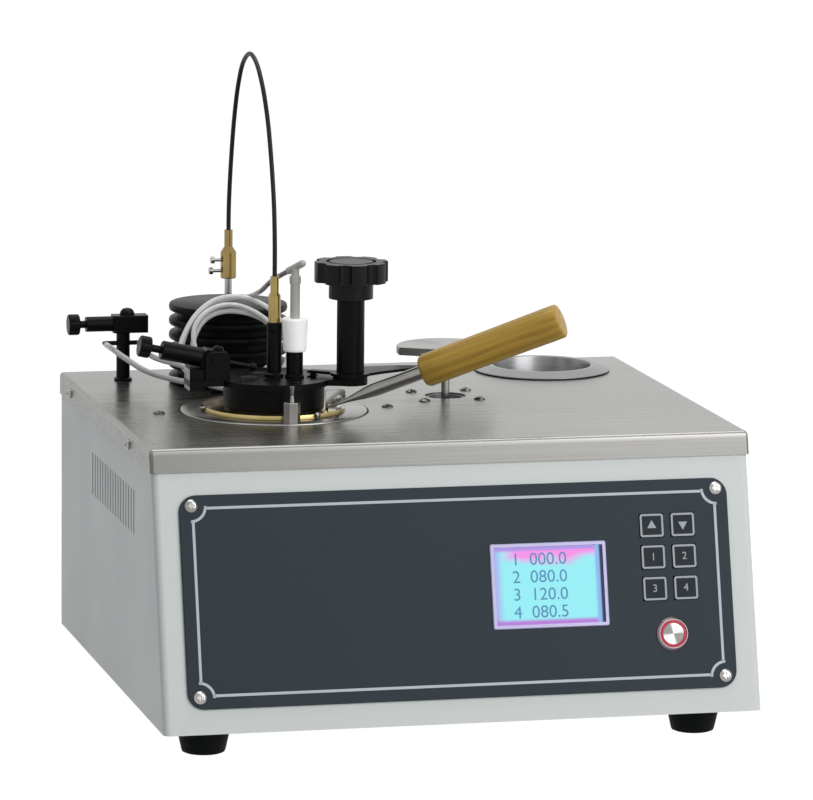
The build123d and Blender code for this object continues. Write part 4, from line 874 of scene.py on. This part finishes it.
# ------------------------------------------------------------------ camera, light and floor
@dataclass
class Studio:
    """The camera, lamps, backdrop and floor.

    Attributes:
        camera_place: where the camera stands.
        azimuth: where it stands round the object, in degrees.
        elevation: how far it looks down, in degrees.
        roll: its tilt about its own axis, in degrees.
        focal_pixels: its focal length in pixels.
        image_width: the image's width in pixels.
        sensor: its sensor's width in millimetres.
    """

    camera_place: Point = (-0.97223, -3.93361, 0.89318)
    azimuth: float = -13.95
    elevation: float = 9.49
    roll: float = 0.61
    focal_pixels: float = 5689.5
    image_width: float = 813.0
    sensor: float = 36.0

    def camera(self) -> None:
        """Places the camera."""
        az, el, roll = (math.radians(v) for v in (self.azimuth, self.elevation, self.roll))
        back = Vector((math.sin(az) * math.cos(el), -math.cos(az) * math.cos(el), math.sin(el)))
        right = Vector((math.cos(az), math.sin(az), 0.0))
        up = back.cross(right)
        cos, sin = math.cos(roll), math.sin(roll)
        right, up = right * cos + up * sin, up * cos - right * sin
        data = bpy.data.cameras.new("camera")
        data.sensor_width = self.sensor
        data.sensor_fit = "HORIZONTAL"
        data.lens = self.focal_pixels * self.sensor / self.image_width
        data.clip_start = 0.1
        data.clip_end = 30.0
        made = bpy.data.objects.new("camera", data)
        axes = Matrix((right, up, back)).transposed().to_4x4()
        made.matrix_world = Matrix.Translation(self.camera_place) @ axes
        bpy.context.scene.collection.objects.link(made)
        bpy.context.scene.camera = made

    def lamp(self, name: str, place: Point, aim: Point, size: float, power: float) -> None:
        """Adds one square soft lamp.

        Args:
            name: its name.
            place: where it stands.
            aim: the point that it faces.
            size: its side.
            power: its power in watts.
        """
        data = bpy.data.lights.new(name, "AREA")
        data.size = size
        data.energy = power
        made = bpy.data.objects.new(name, data)
        made.location = place
        made.rotation_euler = (Vector(aim) - Vector(place)).to_track_quat("-Z", "Y").to_euler()
        bpy.context.scene.collection.objects.link(made)

    def lights(self) -> None:
        """Adds the lamps: a large key at the front right, a fill, and one above."""
        middle = (0.0, 0.0, 0.2)
        self.lamp("key", (1.6, -2.6, 1.5), middle, 2.6, 65.0)
        self.lamp("fill", (-2.4, -1.8, 1.2), middle, 1.6, 2.0)
        self.lamp("top", (0.1, 0.5, 2.4), middle, 1.8, 29.0)

    def backdrop(self) -> None:
        """White to the camera and in reflections, softer as a light."""
        world = bpy.data.worlds.new("backdrop")
        bpy.context.scene.world = world
        g = Graph(world, "OutputWorld")
        soft = g.node("Background", {0: (0.93, 0.96, 1.0, 1.0), 1: 0.33})
        white = g.node("Background", {0: (1.0, 1.0, 1.0, 1.0), 1: 1.0})
        g.end_in_mix(g.looked_at(), soft, white)

    def floor(self) -> None:
        """A wide pale floor that keeps the object's shadow."""
        mesh = bmesh.new()
        bmesh.ops.create_grid(mesh, x_segments=1, y_segments=1, size=8.0)
        bmesh.ops.translate(mesh, verts=mesh.verts, vec=(0, 0, -0.0002))
        data = bpy.data.meshes.new("floor")
        mesh.to_mesh(data)
        mesh.free()
        made = bpy.data.objects.new("floor", data)
        bpy.context.scene.collection.objects.link(made)
        g = Graph(bpy.data.materials.new("floor"))
        shaded = g.node("BsdfDiffuse", {0: (0.36, 0.36, 0.36, 1.0)})
        glow = g.node("Emission", {1: 1.22})
        g.end_in_mix(g.math("MULTIPLY", g.looked_at(), 0.82), shaded, glow)
        data.materials.append(g.owner)

    def build(self) -> None:
        """Sets the whole studio."""
        self.camera()
        self.lights()
        self.backdrop()
        self.floor()
        bpy.context.scene.view_settings.view_transform = "Standard"


# ------------------------------------------------------------------ sensor lead and hoses
def blended(low: float, high: float, share: float) -> float:
    """A smooth step from low to high.

    Args:
        low: the value at share 0 and below.
        high: the value at share 1 and above.
        share: how far the step is on.

    Returns:
        The value.
    """
    share = min(1.0, max(0.0, share))
    return low + (high - low) * share * share * (3 - 2 * share)


@dataclass
class SensorLead:
    """The white lead: from the sensor's head, round its loose coil, down to the grommet.

    Each turn of the coil lies between two strands, at its own share of the way from outer to inner.

    Attributes:
        radius: the lead's radius.
        parting: the control point where the stretch from the sensor's head meets the fixed cord.
        steps: control points to a turn.
        first_angle: where the coil starts, from +X towards the top, in degrees.
        last_angle: where it ends, in degrees, counted on through its turns.
        turn_start: where a new turn starts, in degrees before +X.
        passage: how many degrees a turn takes to pass to its own share.
        middle: the coil's middle, from COIL.
        lean: how far the coil leans back.
        loose: how much wider than its strands the coil lies.
        uneven: how uneven the turns are.
        shares: each turn's share of the way to the inner strand.
        delays: how many degrees later a turn's passage starts.
        depths: each turn's place along the coil's axis.
        outer: the outer strand, in millimetres across and up from COIL.
        inner: the inner strand.
        fall: points down to the coil, across and along Y from COIL, and above the cover.
        end: points down to the grommet, to its left and front, and above the cover.
    """

    radius: float = 0.00185
    parting: int = 5
    steps: int = 16
    first_angle: float = 118.0
    last_angle: float = 1285.0
    turn_start: float = 90.0
    passage: float = 70.0
    middle: tuple[float, float] = (0.0070, -0.0010)
    lean: float = math.radians(18.0)
    loose: float = 1.015
    uneven: float = 0.0003
    shares: tuple[float, ...] = (0.16, 0.0, 1.0, 0.55)
    delays: tuple[float, ...] = (0.0, 0.0, 0.0, 120.0)
    depths: tuple[float, ...] = (-0.0036, 0.0008, -0.0006, 0.0032)
    outer: tuple[tuple[float, float], ...] = (
        (-30.7, 1.3), (-24.3, 14.0), (-15.6, 24.1), (-4.1, 30.5), (11.0, 33.0), (23.5, 30.1), (32.9, 24.7),
        (42.0, 15.6), (47.2, 2.9), (47.8, -11.2), (42.5, -23.0), (31.0, -32.4), (14.0, -36.1),
        (-2.0, -34.2), (-16.0, -30.6), (-29.0, -23.6), (-35.0, -11.6),
    )
    inner: tuple[tuple[float, float], ...] = (
        (-20.4, 5.5), (-17.0, 12.7), (-11.5, 18.1), (-4.6, 21.3), (2.9, 22.2), (10.3, 21.6), (17.7, 20.3),
        (25.0, 18.6), (32.6, 14.4), (37.8, 6.0), (39.0, -5.0), (36.0, -14.8), (27.6, -22.4), (14.0, -26.0),
        (-1.0, -24.6), (-14.0, -20.6), (-22.6, -12.6), (-23.6, -3.0),
    )
    fall: tuple[Point, ...] = (
        (0.0229, -0.0470, 0.0882), (0.0240, -0.0150, 0.0772), (0.0253, 0.0086, 0.0722),
        (0.0235, 0.0190, 0.0684), (0.0145, 0.0228, 0.0670), (0.0045, 0.0190, 0.0667),
    )
    end: tuple[Point, ...] = (
        (0.0185, 0.0121, 0.0330), (0.0135, 0.0099, 0.0250),
        (0.0062, 0.0040, 0.0185), (0.0010, 0.0006, 0.0125),
    )

    def in_plane(self, across: float, up: float, depth: float) -> Point:
        """A point of the coil's plane.

        Args:
            across: along +X from the coil's middle.
            up: up in the plane.
            depth: towards the front, along the coil's axis.

        Returns:
            The point.
        """
        rise = Vector((0, math.sin(self.lean), math.cos(self.lean)))
        out = Vector((0, -math.cos(self.lean), math.sin(self.lean)))
        return tuple(COIL + Vector((across, 0, 0)) + rise * up + out * depth)

    def reach(self, strand: Sequence[tuple[float, float]], angle: float) -> float:
        """Distance of a strand from the middle at an angle, between its points.

        Args:
            strand: the strand's points in millimetres.
            angle: from +X, towards the top, in degrees.

        Returns:
            The distance in metres.
        """
        polar = []
        for x, y in strand:
            dx, dy = x * MM - self.middle[0], y * MM - self.middle[1]
            polar.append((math.degrees(math.atan2(dy, dx)) % 360, math.hypot(dx, dy)))
        polar.sort()
        polar = [(polar[-1][0] - 360, polar[-1][1])] + polar + [(polar[0][0] + 360, polar[0][1])]
        angle %= 360
        for (a0, r0), (a1, r1) in zip(polar, polar[1:]):
            if a0 <= angle <= a1:
                return r0 + (r1 - r0) * (angle - a0) / (a1 - a0)
        return polar[0][1]

    def coil(self) -> list[Point]:
        """The coil's control points.

        Returns:
            The points, from the first angle on.
        """
        points = []
        for index in range(int((self.last_angle - self.first_angle) / 360 * self.steps)):
            angle = self.first_angle + index * 360 / self.steps
            turn, past = divmod(angle + self.turn_start, 360)
            now, before = int(turn), max(0, int(turn) - 1)
            share = blended(self.shares[before], self.shares[now], (past - self.delays[now]) / self.passage)
            depth = blended(self.depths[before], self.depths[now], past / self.passage)
            far, near = self.reach(self.outer, angle), self.reach(self.inner, angle)
            reach = (far + (near - far) * share + self.uneven * math.sin(1.7 * index)) * self.loose
            turned = math.radians(angle)
            points.append(self.in_plane(self.middle[0] + reach * math.cos(turned),
                                        self.middle[1] + reach * math.sin(turned), depth))
        return points

    def route(self) -> list[Point]:
        """The whole lead's control points.

        Returns:
            The points, from the sensor's head to the grommet.
        """
        way = Vector((-0.50, 0.68, -0.43)).normalized()
        head = SENSOR + Vector((0, 0, 0.1040)) + way * 0.0075
        fall = [(COIL.x + x, COIL.y + y, DECK + z) for x, y, z in self.fall]
        end = [(GLAND.x - x, GLAND.y - y, DECK + z) for x, y, z in self.end]
        return [tuple(head), tuple(head + way * 0.014), *fall, *self.coil(), *end, tuple(GLAND)]

    def build(self, shop: Shop) -> None:
        """Makes the lead.

        Args:
            shop: the piece maker.
        """
        points = self.route()
        stretch = bending_tube(shop, "lead_stretch", points[self.parting + 1::-1], self.radius, "lead_white")
        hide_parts("sensor_lead")
        points = points[self.parting:]
        lead = nurbs("sensor_cord", points, self.radius)
        lead.data.materials.append(shop.materials["lead_white"])
        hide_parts("sensor_coil", "sensor_lead")
        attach(lead, "cabinet")
        length = curve_length(points)
        log.info("sensor lead %.3f m", length)


@dataclass
class GasHoses:
    """The two short gas hoses between the post and the lid.

    Attributes:
        radius: a hose's radius.
        end_x: where both end across.
        end_y: where both end along Y.
        start_z: the height where both start.
    """

    radius: float = 0.0021
    end_x: float = CUP.x - 0.0584
    end_y: float = CUP.y + 0.0122
    start_z: float = DECK + 0.0278

    def routes(self) -> dict[str, list[Point]]:
        """Control points of both hoses.

        Returns:
            The points by piece name.
        """
        x, y, z = POST.x, POST.y, self.start_z
        outer = [
            (x - 0.0140, y - 0.0072, z), (x - 0.0146, y - 0.032, z + 0.001),
            (x - 0.008, y - 0.060, z - 0.0035), (x + 0.001, y - 0.084, z - 0.0085),
            (self.end_x - 0.008, self.end_y + 0.028, DECK + 0.0176),
            (self.end_x, self.end_y, DECK + 0.0195),
        ]
        inner = [
            (x + 0.0110, y - 0.0072, z), (x + 0.0112, y - 0.036, z - 0.0032),
            (x + 0.014, y - 0.070, z - 0.0023),
            (self.end_x - 0.003, self.end_y + 0.032, DECK + 0.0281), (self.end_x, self.end_y, DECK + 0.0298),
        ]
        return {"gas_hose_outer": outer, "gas_hose_inner": inner}

    def build(self, shop: Shop) -> None:
        """Makes the hoses.

        Args:
            shop: the piece maker.
        """
        for name, points in self.routes().items():
            hose = bending_tube(shop, name, points, self.radius, "hose_clear")
            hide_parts("gas_hoses")


# ------------------------------------------------------------------ turned pieces
@dataclass
class Lathed:
    """A turned piece that stands in for a solid: an outline spun about its own axis.

    Attributes:
        node: the solid that it replaces.
        body: the body that it moves with.
        finish: its finish.
        slot: its record slot; not used.
        outline: (radius, height) points in millimetres; closed where it doesn't meet the axis.
        places: where it stands, once per copy.
        steps: how many steps a full turn has.
        stands_in: whether the solid gives way to it.
    """

    node: str
    body: str
    finish: str
    slot: str
    outline: Outline
    places: Sequence[Matrix]
    steps: int = 96
    stands_in: bool = True

    def turned(self) -> bmesh.types.BMesh:
        """Spins the outline.

        Returns:
            The bmesh about local Z.
        """
        mesh = bmesh.new()
        points = [(radius * MM, height * MM) for radius, height in self.outline]
        spin_round(mesh, points, self.outline[0][0] > 0, self.steps)
        bmesh.ops.remove_doubles(mesh, verts=mesh.verts, dist=1e-6)
        bmesh.ops.recalc_face_normals(mesh, faces=mesh.faces)
        return mesh

    def build(self, shop: Shop) -> None:
        """Makes the piece and takes the solid's place.

        Args:
            shop: the piece maker.
        """
        whole = bmesh.new()
        for place in self.places:
            single = self.turned()
            bmesh.ops.transform(single, matrix=place, verts=single.verts)
            holder = bpy.data.meshes.new("single")
            single.to_mesh(holder)
            single.free()
            whole.from_mesh(holder)
            bpy.data.meshes.remove(holder)
        made = shop.piece(self.node + "_turned", whole, self.body, self.finish, smooth=True)
        if self.stands_in:
            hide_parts(self.node)


def handle_matrix() -> Matrix:
    """The handle's own axes: local Z runs from the bracket out to the grip.

    Returns:
        The placing matrix.
    """
    turn, rise = HANDLE_TURN, HANDLE_RISE
    along = Vector((math.cos(rise) * math.cos(turn), math.cos(rise) * math.sin(turn), math.sin(rise)))
    level = Vector((-math.sin(turn), math.cos(turn), 0.0))
    across = along.cross(level)
    origin = CUP + Vector((0.0344, -0.0326, 0.00735))
    return Matrix.Translation(origin) @ Matrix((level, across, along)).transposed().to_4x4()


@dataclass
class MotorHousing:
    """The finned housing: six round-edged fins on a core, closed by a flat top.

    Attributes:
        core: the core's radius.
        rim: the fins' radius.
        fins: how many fins.
        thick: a fin's thickness.
        pitch: from fin to fin.
        foot: height of the lowest fin.
        shaft_hole: radius of the hole in the top.
        wall: the core's wall.
        rounding: how far back a fin's edge curves.
        facets: how many steps a fin's edge curves in.
    """

    core: float = 37.5
    rim: float = 43.7
    fins: int = 6
    thick: float = 5.4
    pitch: float = 10.5
    foot: float = 0.8
    shaft_hole: float = 3.3
    wall: float = 4.0
    rounding: float = 1.3
    facets: int = 6

    def outline(self) -> Outline:
        """The housing's outline.

        Returns:
            (radius, height) points from the inside of the foot round to the shaft's hole.
        """
        points = [(self.core - self.wall, 0.0), (self.core, 0.0)]
        half = self.thick / 2
        for index in range(self.fins):
            middle = self.foot + index * self.pitch + half
            points.append((self.core, middle - half))
            for step in range(self.facets + 1):
                angle = math.pi * (step / self.facets - 0.5)
                edge = self.rim - self.rounding * (1 - math.cos(angle))
                points.append((edge, middle + half * math.sin(angle)))
            points.append((self.core, middle + half))
        top = self.foot + (self.fins - 1) * self.pitch + self.thick
        points[-1] = (self.shaft_hole, top)
        points += [(self.shaft_hole, top - self.wall), (self.core - self.wall, top - self.wall)]
        return points

    def build(self, shop: Shop) -> None:
        """Makes the housing.

        Args:
            shop: the piece maker.
        """
        Lathed("motor_housing", "cabinet", "housing_black", "black_steel", self.outline(),
               [Matrix.Translation(MOTOR)]).build(shop)


@dataclass
class HeatedCup:
    """The brass cup, the ring round it and the wooden grip of its handle.

    Attributes:
        bore: the cup's inner radius.
        outer: its outer radius.
        flange: the flange's radius.
        flange_foot: the flange's underside above the cover.
        flange_top: the flange's top above the cover.
        neck: height of the cup's mouth.
        floor: height of the cup's underside.
        ring: the steel ring's outer radius.
        ring_bore: its inner radius.
        mark: how far under the mouth the filling mark is.
        grip_start: where the grip starts along the handle.
        grip_end: where it ends.
        grip_radius: its radius where it starts to swell.
        swell: how much thicker it gets.
    """

    bore: float = 25.4
    outer: float = 28.0
    flange: float = 51.3
    flange_foot: float = 0.8
    flange_top: float = 4.3
    neck: float = 18.0
    floor: float = -40.6
    ring: float = 67.0
    ring_bore: float = 32.0
    mark: float = 22.2
    grip_start: float = 72.5
    grip_end: float = 179.5
    grip_radius: float = 11.8
    swell: float = 0.7

    def cup(self) -> Outline:
        """The cup's outline with its filling mark.

        Returns:
            (radius, height) points.
        """
        mark = self.neck - self.mark
        return [
            (0, self.floor), (self.outer - 2, self.floor), (self.outer, self.floor + 2),
            (self.outer, self.flange_foot),
            (self.flange - 0.4, self.flange_foot), (self.flange, self.flange_foot + 0.4),
            (self.flange, self.flange_top - 0.5), (self.flange - 0.15, self.flange_top - 0.15),
            (self.flange - 0.5, self.flange_top), (self.outer, self.flange_top), (self.outer, self.neck),
            (self.bore, self.neck), (self.bore, mark + 0.4), (self.bore + 0.4, mark), (self.bore, mark - 0.4),
            (self.bore, self.floor + 2.6), (0, self.floor + 2.6),
        ]

    def vessel_ring(self) -> Outline:
        """The outline of the ring that lies level with the cover.

        Returns:
            (radius, height) points.
        """
        top = self.flange_foot
        return [(self.ring_bore, top - 4), (self.ring, top - 4), (self.ring, top - 0.6),
                (self.ring - 0.2, top - 0.2), (self.ring - 0.6, top), (self.ring_bore, top)]

    def grip(self) -> Outline:
        """The grip's outline along the handle.

        Returns:
            (radius, height) points.
        """
        start, end = self.grip_start, self.grip_end
        swell = [(self.grip_radius + self.swell * share ** 1.6, start + 2.6 + (end - start - 4.1) * share)
                 for share in (0, 0.2, 0.4, 0.6, 0.8, 0.93)]
        return [(0, start), (10.1, start), (10.5, start + 0.3), *swell, (12.3, end - 1.5), (11.9, end - 0.6),
                (11.2, end - 0.1), (10.8, end), (0, end)]

    def build(self, shop: Shop) -> None:
        """Makes the turned pieces of the cup.

        Args:
            shop: the piece maker.
        """
        here = [Matrix.Translation(CUP)]
        edge = self.ring
        # Painted shade: a thin near-black ring on the cover just outside the steel ring, for the shade of its
        # gap.
        groove_shade = [(edge + 0.05, -0.1), (edge + 1.2, -0.1), (edge + 1.2, 0.05), (edge + 0.05, 0.05)]
        for turned in (
            Lathed("cup", "cup_set", "brass", "brass", self.cup(), here, 128),
            Lathed("vessel_ring", "cabinet", "ring_steel", "cover_steel", self.vessel_ring(), here, 128),
            Lathed("ring_groove", "cabinet", "groove_shade", "cover_steel", groove_shade, here, 128, stands_in=False),
            Lathed("handle_grip", "cup_set", "handle_wood", "handle_wood", self.grip(), [handle_matrix()]),
        ):
            turned.build(shop)


@dataclass
class CoolingWell:
    """The well for the hot cup, with a broad sloping lip.

    Attributes:
        bore: its inner radius.
        wall: its wall.
        flange: the lip's outer radius.
        crest: radius where the slope ends.
        rise: the lip's height.
        depth: how deep it is.
    """

    bore: float = 36.5
    wall: float = 2.0
    flange: float = 51.2
    crest: float = 40.0
    rise: float = 4.4
    depth: float = 62.0

    def outline(self) -> Outline:
        """The well's outline.

        Returns:
            (radius, height) points.
        """
        deep, outside = -self.depth, self.bore + self.wall
        return [
            (0, deep), (outside, deep), (outside, 0), (self.flange - 2.2, 0), (self.flange - 1.6, 0.7),
            (self.flange - 0.2, 0.7), (self.flange, 1.0), (self.flange - 0.3, 1.5),
            (self.flange - 1.2, 1.6), (self.crest + 1.2, self.rise - 0.25), (self.crest, self.rise),
            (self.bore + 1.0, self.rise), (self.bore + 0.3, self.rise - 0.3), (self.bore, self.rise - 1.0),
            (self.bore, deep + self.wall), (0, deep + self.wall),
        ]

    def build(self, shop: Shop) -> None:
        """Makes the well.

        Args:
            shop: the piece maker.
        """
        Lathed("cooling_well", "cabinet", "well_aluminium", "well_aluminium", self.outline(),
               [Matrix.Translation(WELL)], 128).build(shop)


@dataclass
class Feet:
    """The four tapered rubber feet.

    Attributes:
        base: radius of the sole.
        top: radius under the body.
        height: a foot's height.
        spread: from foot to foot, across.
        rows: the two rows' places along Y.
    """

    base: float = 15.5
    top: float = 19.5
    height: float = 22.0
    spread: float = 354.0
    rows: tuple[float, float] = (-157.95, 145.95)

    def build(self, shop: Shop) -> None:
        """Makes the feet.

        Args:
            shop: the piece maker.
        """
        outline = [
            (0, 5), (5.5, 5), (5.5, 0), (self.base - 2, 0), (self.base - 0.6, 0.6), (self.base, 2),
            (self.top, self.height - 2), (self.top - 0.2, self.height - 0.6), (self.top - 0.6, self.height),
            (2.2, self.height), (2.2, 9), (0, 9),
        ]
        half = self.spread / 2
        places = [Matrix.Translation((x * MM, y * MM, 0)) for x in (-half, half) for y in self.rows]
        Lathed("rubber_feet", "cabinet", "rubber", "rubber", outline, places, 64).build(shop)


@dataclass
class HoseClip:
    """The bright plate on the gas block that both hoses end at.

    Attributes:
        left: its left face from the cup's axis.
        thick: its thickness.
        half: half its depth.
        low: its lower edge above the cover.
        high: its upper edge above the cover.
        rounding: how far its edges are broken.
    """

    left: float = -0.0637
    thick: float = 0.0005
    half: float = 0.0082
    low: float = 0.0170
    high: float = 0.0322
    rounding: float = 0.00012

    def build(self, shop: Shop) -> None:
        """Makes the plate.

        Args:
            shop: the piece maker.
        """
        mesh = bmesh.new()
        bmesh.ops.create_cube(mesh, size=1.0)
        bmesh.ops.scale(mesh, vec=(self.thick, 2 * self.half, self.high - self.low), verts=mesh.verts)
        bmesh.ops.bevel(mesh, geom=mesh.edges[:], offset=self.rounding, segments=2, affect="EDGES",
                        profile=0.5, material=-1)
        middle = CUP + Vector((self.left + self.thick / 2, 0, (self.low + self.high) / 2))
        bmesh.ops.translate(mesh, vec=middle, verts=mesh.verts)
        shop.piece("hose_clip", mesh, "lid_set", "bright_screws")


# ------------------------------------------------------------------ control panel
@dataclass
class PanelPrint:
    """The pale border line, key frames and key signs of the control panel.

    Attributes:
        face: the panel's face, out of the sheet.
        half_width: half the border's width.
        top_drop: the border's top, down the slope.
        bottom_drop: its bottom.
        line: its line width.
        notch: radius of its arcs round the screws.
        overlap: how far its bars run into the arcs.
        key_columns: the columns of keys, across.
        key_first: the first row, down the slope.
        key_pitch: from row to row.
        key_width: a key frame's width.
        key_height: its height.
        key_line: its line width.
        key_corner: its corner radius.
        key_proud: a key's face, out of the sheet.
        arrow: radius of the signs up and down.
        figure: size of the plain numbers.
        film: how thick the print is.
    """

    face: float = 0.00203
    half_width: float = 0.1870
    top_drop: float = 0.0418
    bottom_drop: float = 0.1710
    line: float = 0.0019
    notch: float = 0.0105
    overlap: float = 0.0015
    key_columns: tuple[float, ...] = (0.1400, 0.1626)
    key_first: float = 0.0648
    key_pitch: float = 0.0222
    key_width: float = 0.0169
    key_height: float = 0.0162
    key_line: float = 0.0014
    key_corner: float = 0.0017
    key_proud: float = 0.00303
    arrow: float = 0.0038
    figure: float = 0.0075
    film: float = 0.00006

    def bar(self, mesh: bmesh.types.BMesh, x0: float, x1: float, y0: float, y1: float) -> None:
        """Adds a flat bar in local front coordinates.

        Args:
            mesh: the bmesh in work.
            x0: its left.
            x1: its right.
            y0: its bottom.
            y1: its top.
        """
        made = bmesh.ops.create_cube(mesh, size=1.0)["verts"]
        bmesh.ops.scale(mesh, vec=(x1 - x0, y1 - y0, self.film), verts=made)
        bmesh.ops.translate(mesh, vec=((x0 + x1) / 2, (y0 + y1) / 2, 0), verts=made)

    def quarter(self, mesh: bmesh.types.BMesh, x: float, y: float, start: float) -> None:
        """Adds a quarter ring round a screw.

        Args:
            mesh: the bmesh in work.
            x: the screw's place across.
            y: the screw's place up the slope.
            start: where the arc starts, in degrees.
        """
        inner, outer = self.notch - self.line / 2, self.notch + self.line / 2
        half = self.film / 2
        turn = Matrix.Rotation(math.radians(start), 3, "Z")
        corners = [(inner, -half), (outer, -half), (outer, half), (inner, half)]
        verts = [mesh.verts.new(Vector((x, y, 0)) + turn @ Vector((r, 0, h))) for r, h in corners]
        face = mesh.faces.new(verts)
        bmesh.ops.spin(mesh, geom=[face, *face.edges, *face.verts], cent=(x, y, 0), axis=(0, 0, 1),
                       angle=math.radians(90), steps=10, use_duplicate=False)

    def border(self, shop: Shop) -> None:
        """Makes the border line with its corners drawn in round the screws.

        Args:
            shop: the piece maker.
        """
        mesh = bmesh.new()
        w, half = self.half_width, self.line / 2
        top, bottom, n = -self.top_drop, -self.bottom_drop, self.notch - self.overlap
        self.bar(mesh, -w + n, w - n, top - half, top + half)
        self.bar(mesh, -w + n, w - n, bottom - half, bottom + half)
        for x in (-w, w):
            self.bar(mesh, x - half, x + half, bottom + n, top - n)
        for x, y, start in ((-w, top, 270), (w, top, 180), (w, bottom, 90), (-w, bottom, 0)):
            above = self.overlap if y == top else -self.overlap
            self.quarter(mesh, x + math.copysign(self.overlap, x), y + above, start)
        bmesh.ops.recalc_face_normals(mesh, faces=mesh.faces)
        bmesh.ops.transform(mesh, matrix=front_matrix(0, 0, self.face), verts=mesh.verts)
        shop.piece("panel_border", mesh, "cabinet", "print_grey")

    def rounded_frame(self, width: float, height: float, line: float, corner: float) -> bmesh.types.BMesh:
        """A thin frame with round corners.

        Args:
            width: its width.
            height: its height.
            line: its line width.
            corner: its corner radius.

        Returns:
            The bmesh.
        """
        mesh = bmesh.new()
        bmesh.ops.create_grid(mesh, x_segments=1, y_segments=1, size=0.5)
        bmesh.ops.scale(mesh, vec=(width, height, 1), verts=mesh.verts)
        bmesh.ops.bevel(mesh, geom=mesh.verts[:], offset=corner, segments=5, affect="VERTICES", profile=0.5,
                        material=-1)
        bmesh.ops.inset_region(mesh, faces=mesh.faces[:], thickness=line, use_even_offset=True,
                               use_boundary=True)
        middle = min(mesh.faces, key=lambda f: f.calc_center_median().length)
        bmesh.ops.delete(mesh, geom=[middle], context="FACES")
        grown = bmesh.ops.extrude_face_region(mesh, geom=mesh.faces[:])
        raised = [part for part in grown["geom"] if isinstance(part, bmesh.types.BMVert)]
        bmesh.ops.translate(mesh, vec=(0, 0, self.film), verts=raised)
        bmesh.ops.recalc_face_normals(mesh, faces=mesh.faces)
        return mesh

    def keys(self, shop: Shop) -> None:
        """Makes each key's pale frame and sign.

        Args:
            shop: the piece maker.
        """
        signs = ("up", "down", "1", "2", "3", "4")
        for index, sign in enumerate(signs):
            row, column = divmod(index, 2)
            drop = self.key_first + row * self.key_pitch
            place = front_matrix(self.key_columns[column], drop, self.key_proud)
            outline = self.rounded_frame(self.key_width, self.key_height, self.key_line, self.key_corner)
            if sign in ("up", "down"):
                mark = bmesh.new()
                bmesh.ops.create_cone(mark, cap_ends=True, segments=3, radius1=self.arrow, radius2=self.arrow,
                                      depth=self.film)
                flip = 0.0 if sign == "up" else math.pi
                bmesh.ops.rotate(mark, matrix=Matrix.Rotation(flip, 3, "Z"), verts=mark.verts)
            else:
                mark = text_mesh(sign, self.figure, self.film)
            for name, mesh in (("key_frame", outline), ("key_sign", mark)):
                bmesh.ops.transform(mesh, matrix=place, verts=mesh.verts)
                shop.piece(f"{name}_{index + 1}", mesh, f"key_set_{index + 1}", "key_line")

    def build(self, shop: Shop) -> None:
        """Makes all the print.

        Args:
            shop: the piece maker.
        """
        self.border(shop)
        self.keys(shop)


@dataclass
class Display:
    """The figures on the lit display.

    Attributes:
        middle: the middle of the rows, across.
        first: the first row, down the slope.
        pitch: from row to row.
        glass: the glass's face, out of the sheet.
        size: the figures' size.
        ink: how thick the figures are.
        rows: what the rows say.
    """

    middle: float = 0.0220 + 0.0838 * 0.42
    first: float = 0.0741 + 0.0115
    pitch: float = 0.0123
    glass: float = 0.00243
    size: float = 0.0122
    ink: float = 0.00004
    rows: tuple[str, ...] = ("1  000.0", "2  080.0", "3  120.0", "4  080.5")

    def build(self, shop: Shop) -> None:
        """Makes the rows of figures.

        Args:
            shop: the piece maker.
        """
        for index, row in enumerate(self.rows):
            mesh = text_mesh(row, self.size, self.ink)
            place = front_matrix(self.middle, self.first + index * self.pitch, self.glass)
            bmesh.ops.transform(mesh, matrix=place, verts=mesh.verts)
            shop.piece(f"display_row_{index + 1}", mesh, "cabinet", "lcd_ink")


@dataclass
class PowerButton:
    """The lit red ring round the button's cap.

    Attributes:
        x: the button's place across.
        drop: its place down the slope.
        inner: the ring's inner radius.
        outer: its outer radius.
        foot: its underside, out of the sheet.
    """

    x: float = 0.1513
    drop: float = 0.1412
    inner: float = 0.0073
    outer: float = 0.0095
    foot: float = 0.0028

    def build(self, shop: Shop) -> None:
        """Makes the ring.

        Args:
            shop: the piece maker.
        """
        mesh = bmesh.new()
        profile = [(self.inner, 0), (self.inner, 0.0010), ((self.inner + self.outer) / 2, 0.0014),
                   (self.outer, 0.0011), (self.outer, 0)]
        spin_round(mesh, [(radius, self.foot + height) for radius, height in profile], False, 48)
        bmesh.ops.recalc_face_normals(mesh, faces=mesh.faces)
        bmesh.ops.transform(mesh, matrix=front_matrix(self.x, self.drop), verts=mesh.verts)
        shop.piece("power_ring", mesh, "cabinet", "red_glow", smooth=True)


def main() -> None:
    """Builds the studio, then every sub-assembly in order."""
    Studio().build()
    shop = Shop()
    shop.dress_nodes()
    parts = (MotorHousing(), HeatedCup(), CoolingWell(), Feet(), HoseClip(), SensorLead(), GasHoses(),
             PanelPrint(), Display(), PowerButton())
    for part in parts:
        part.build(shop)
        log.info("built %s", type(part).__name__)


if __name__ == "__main__":
    main()
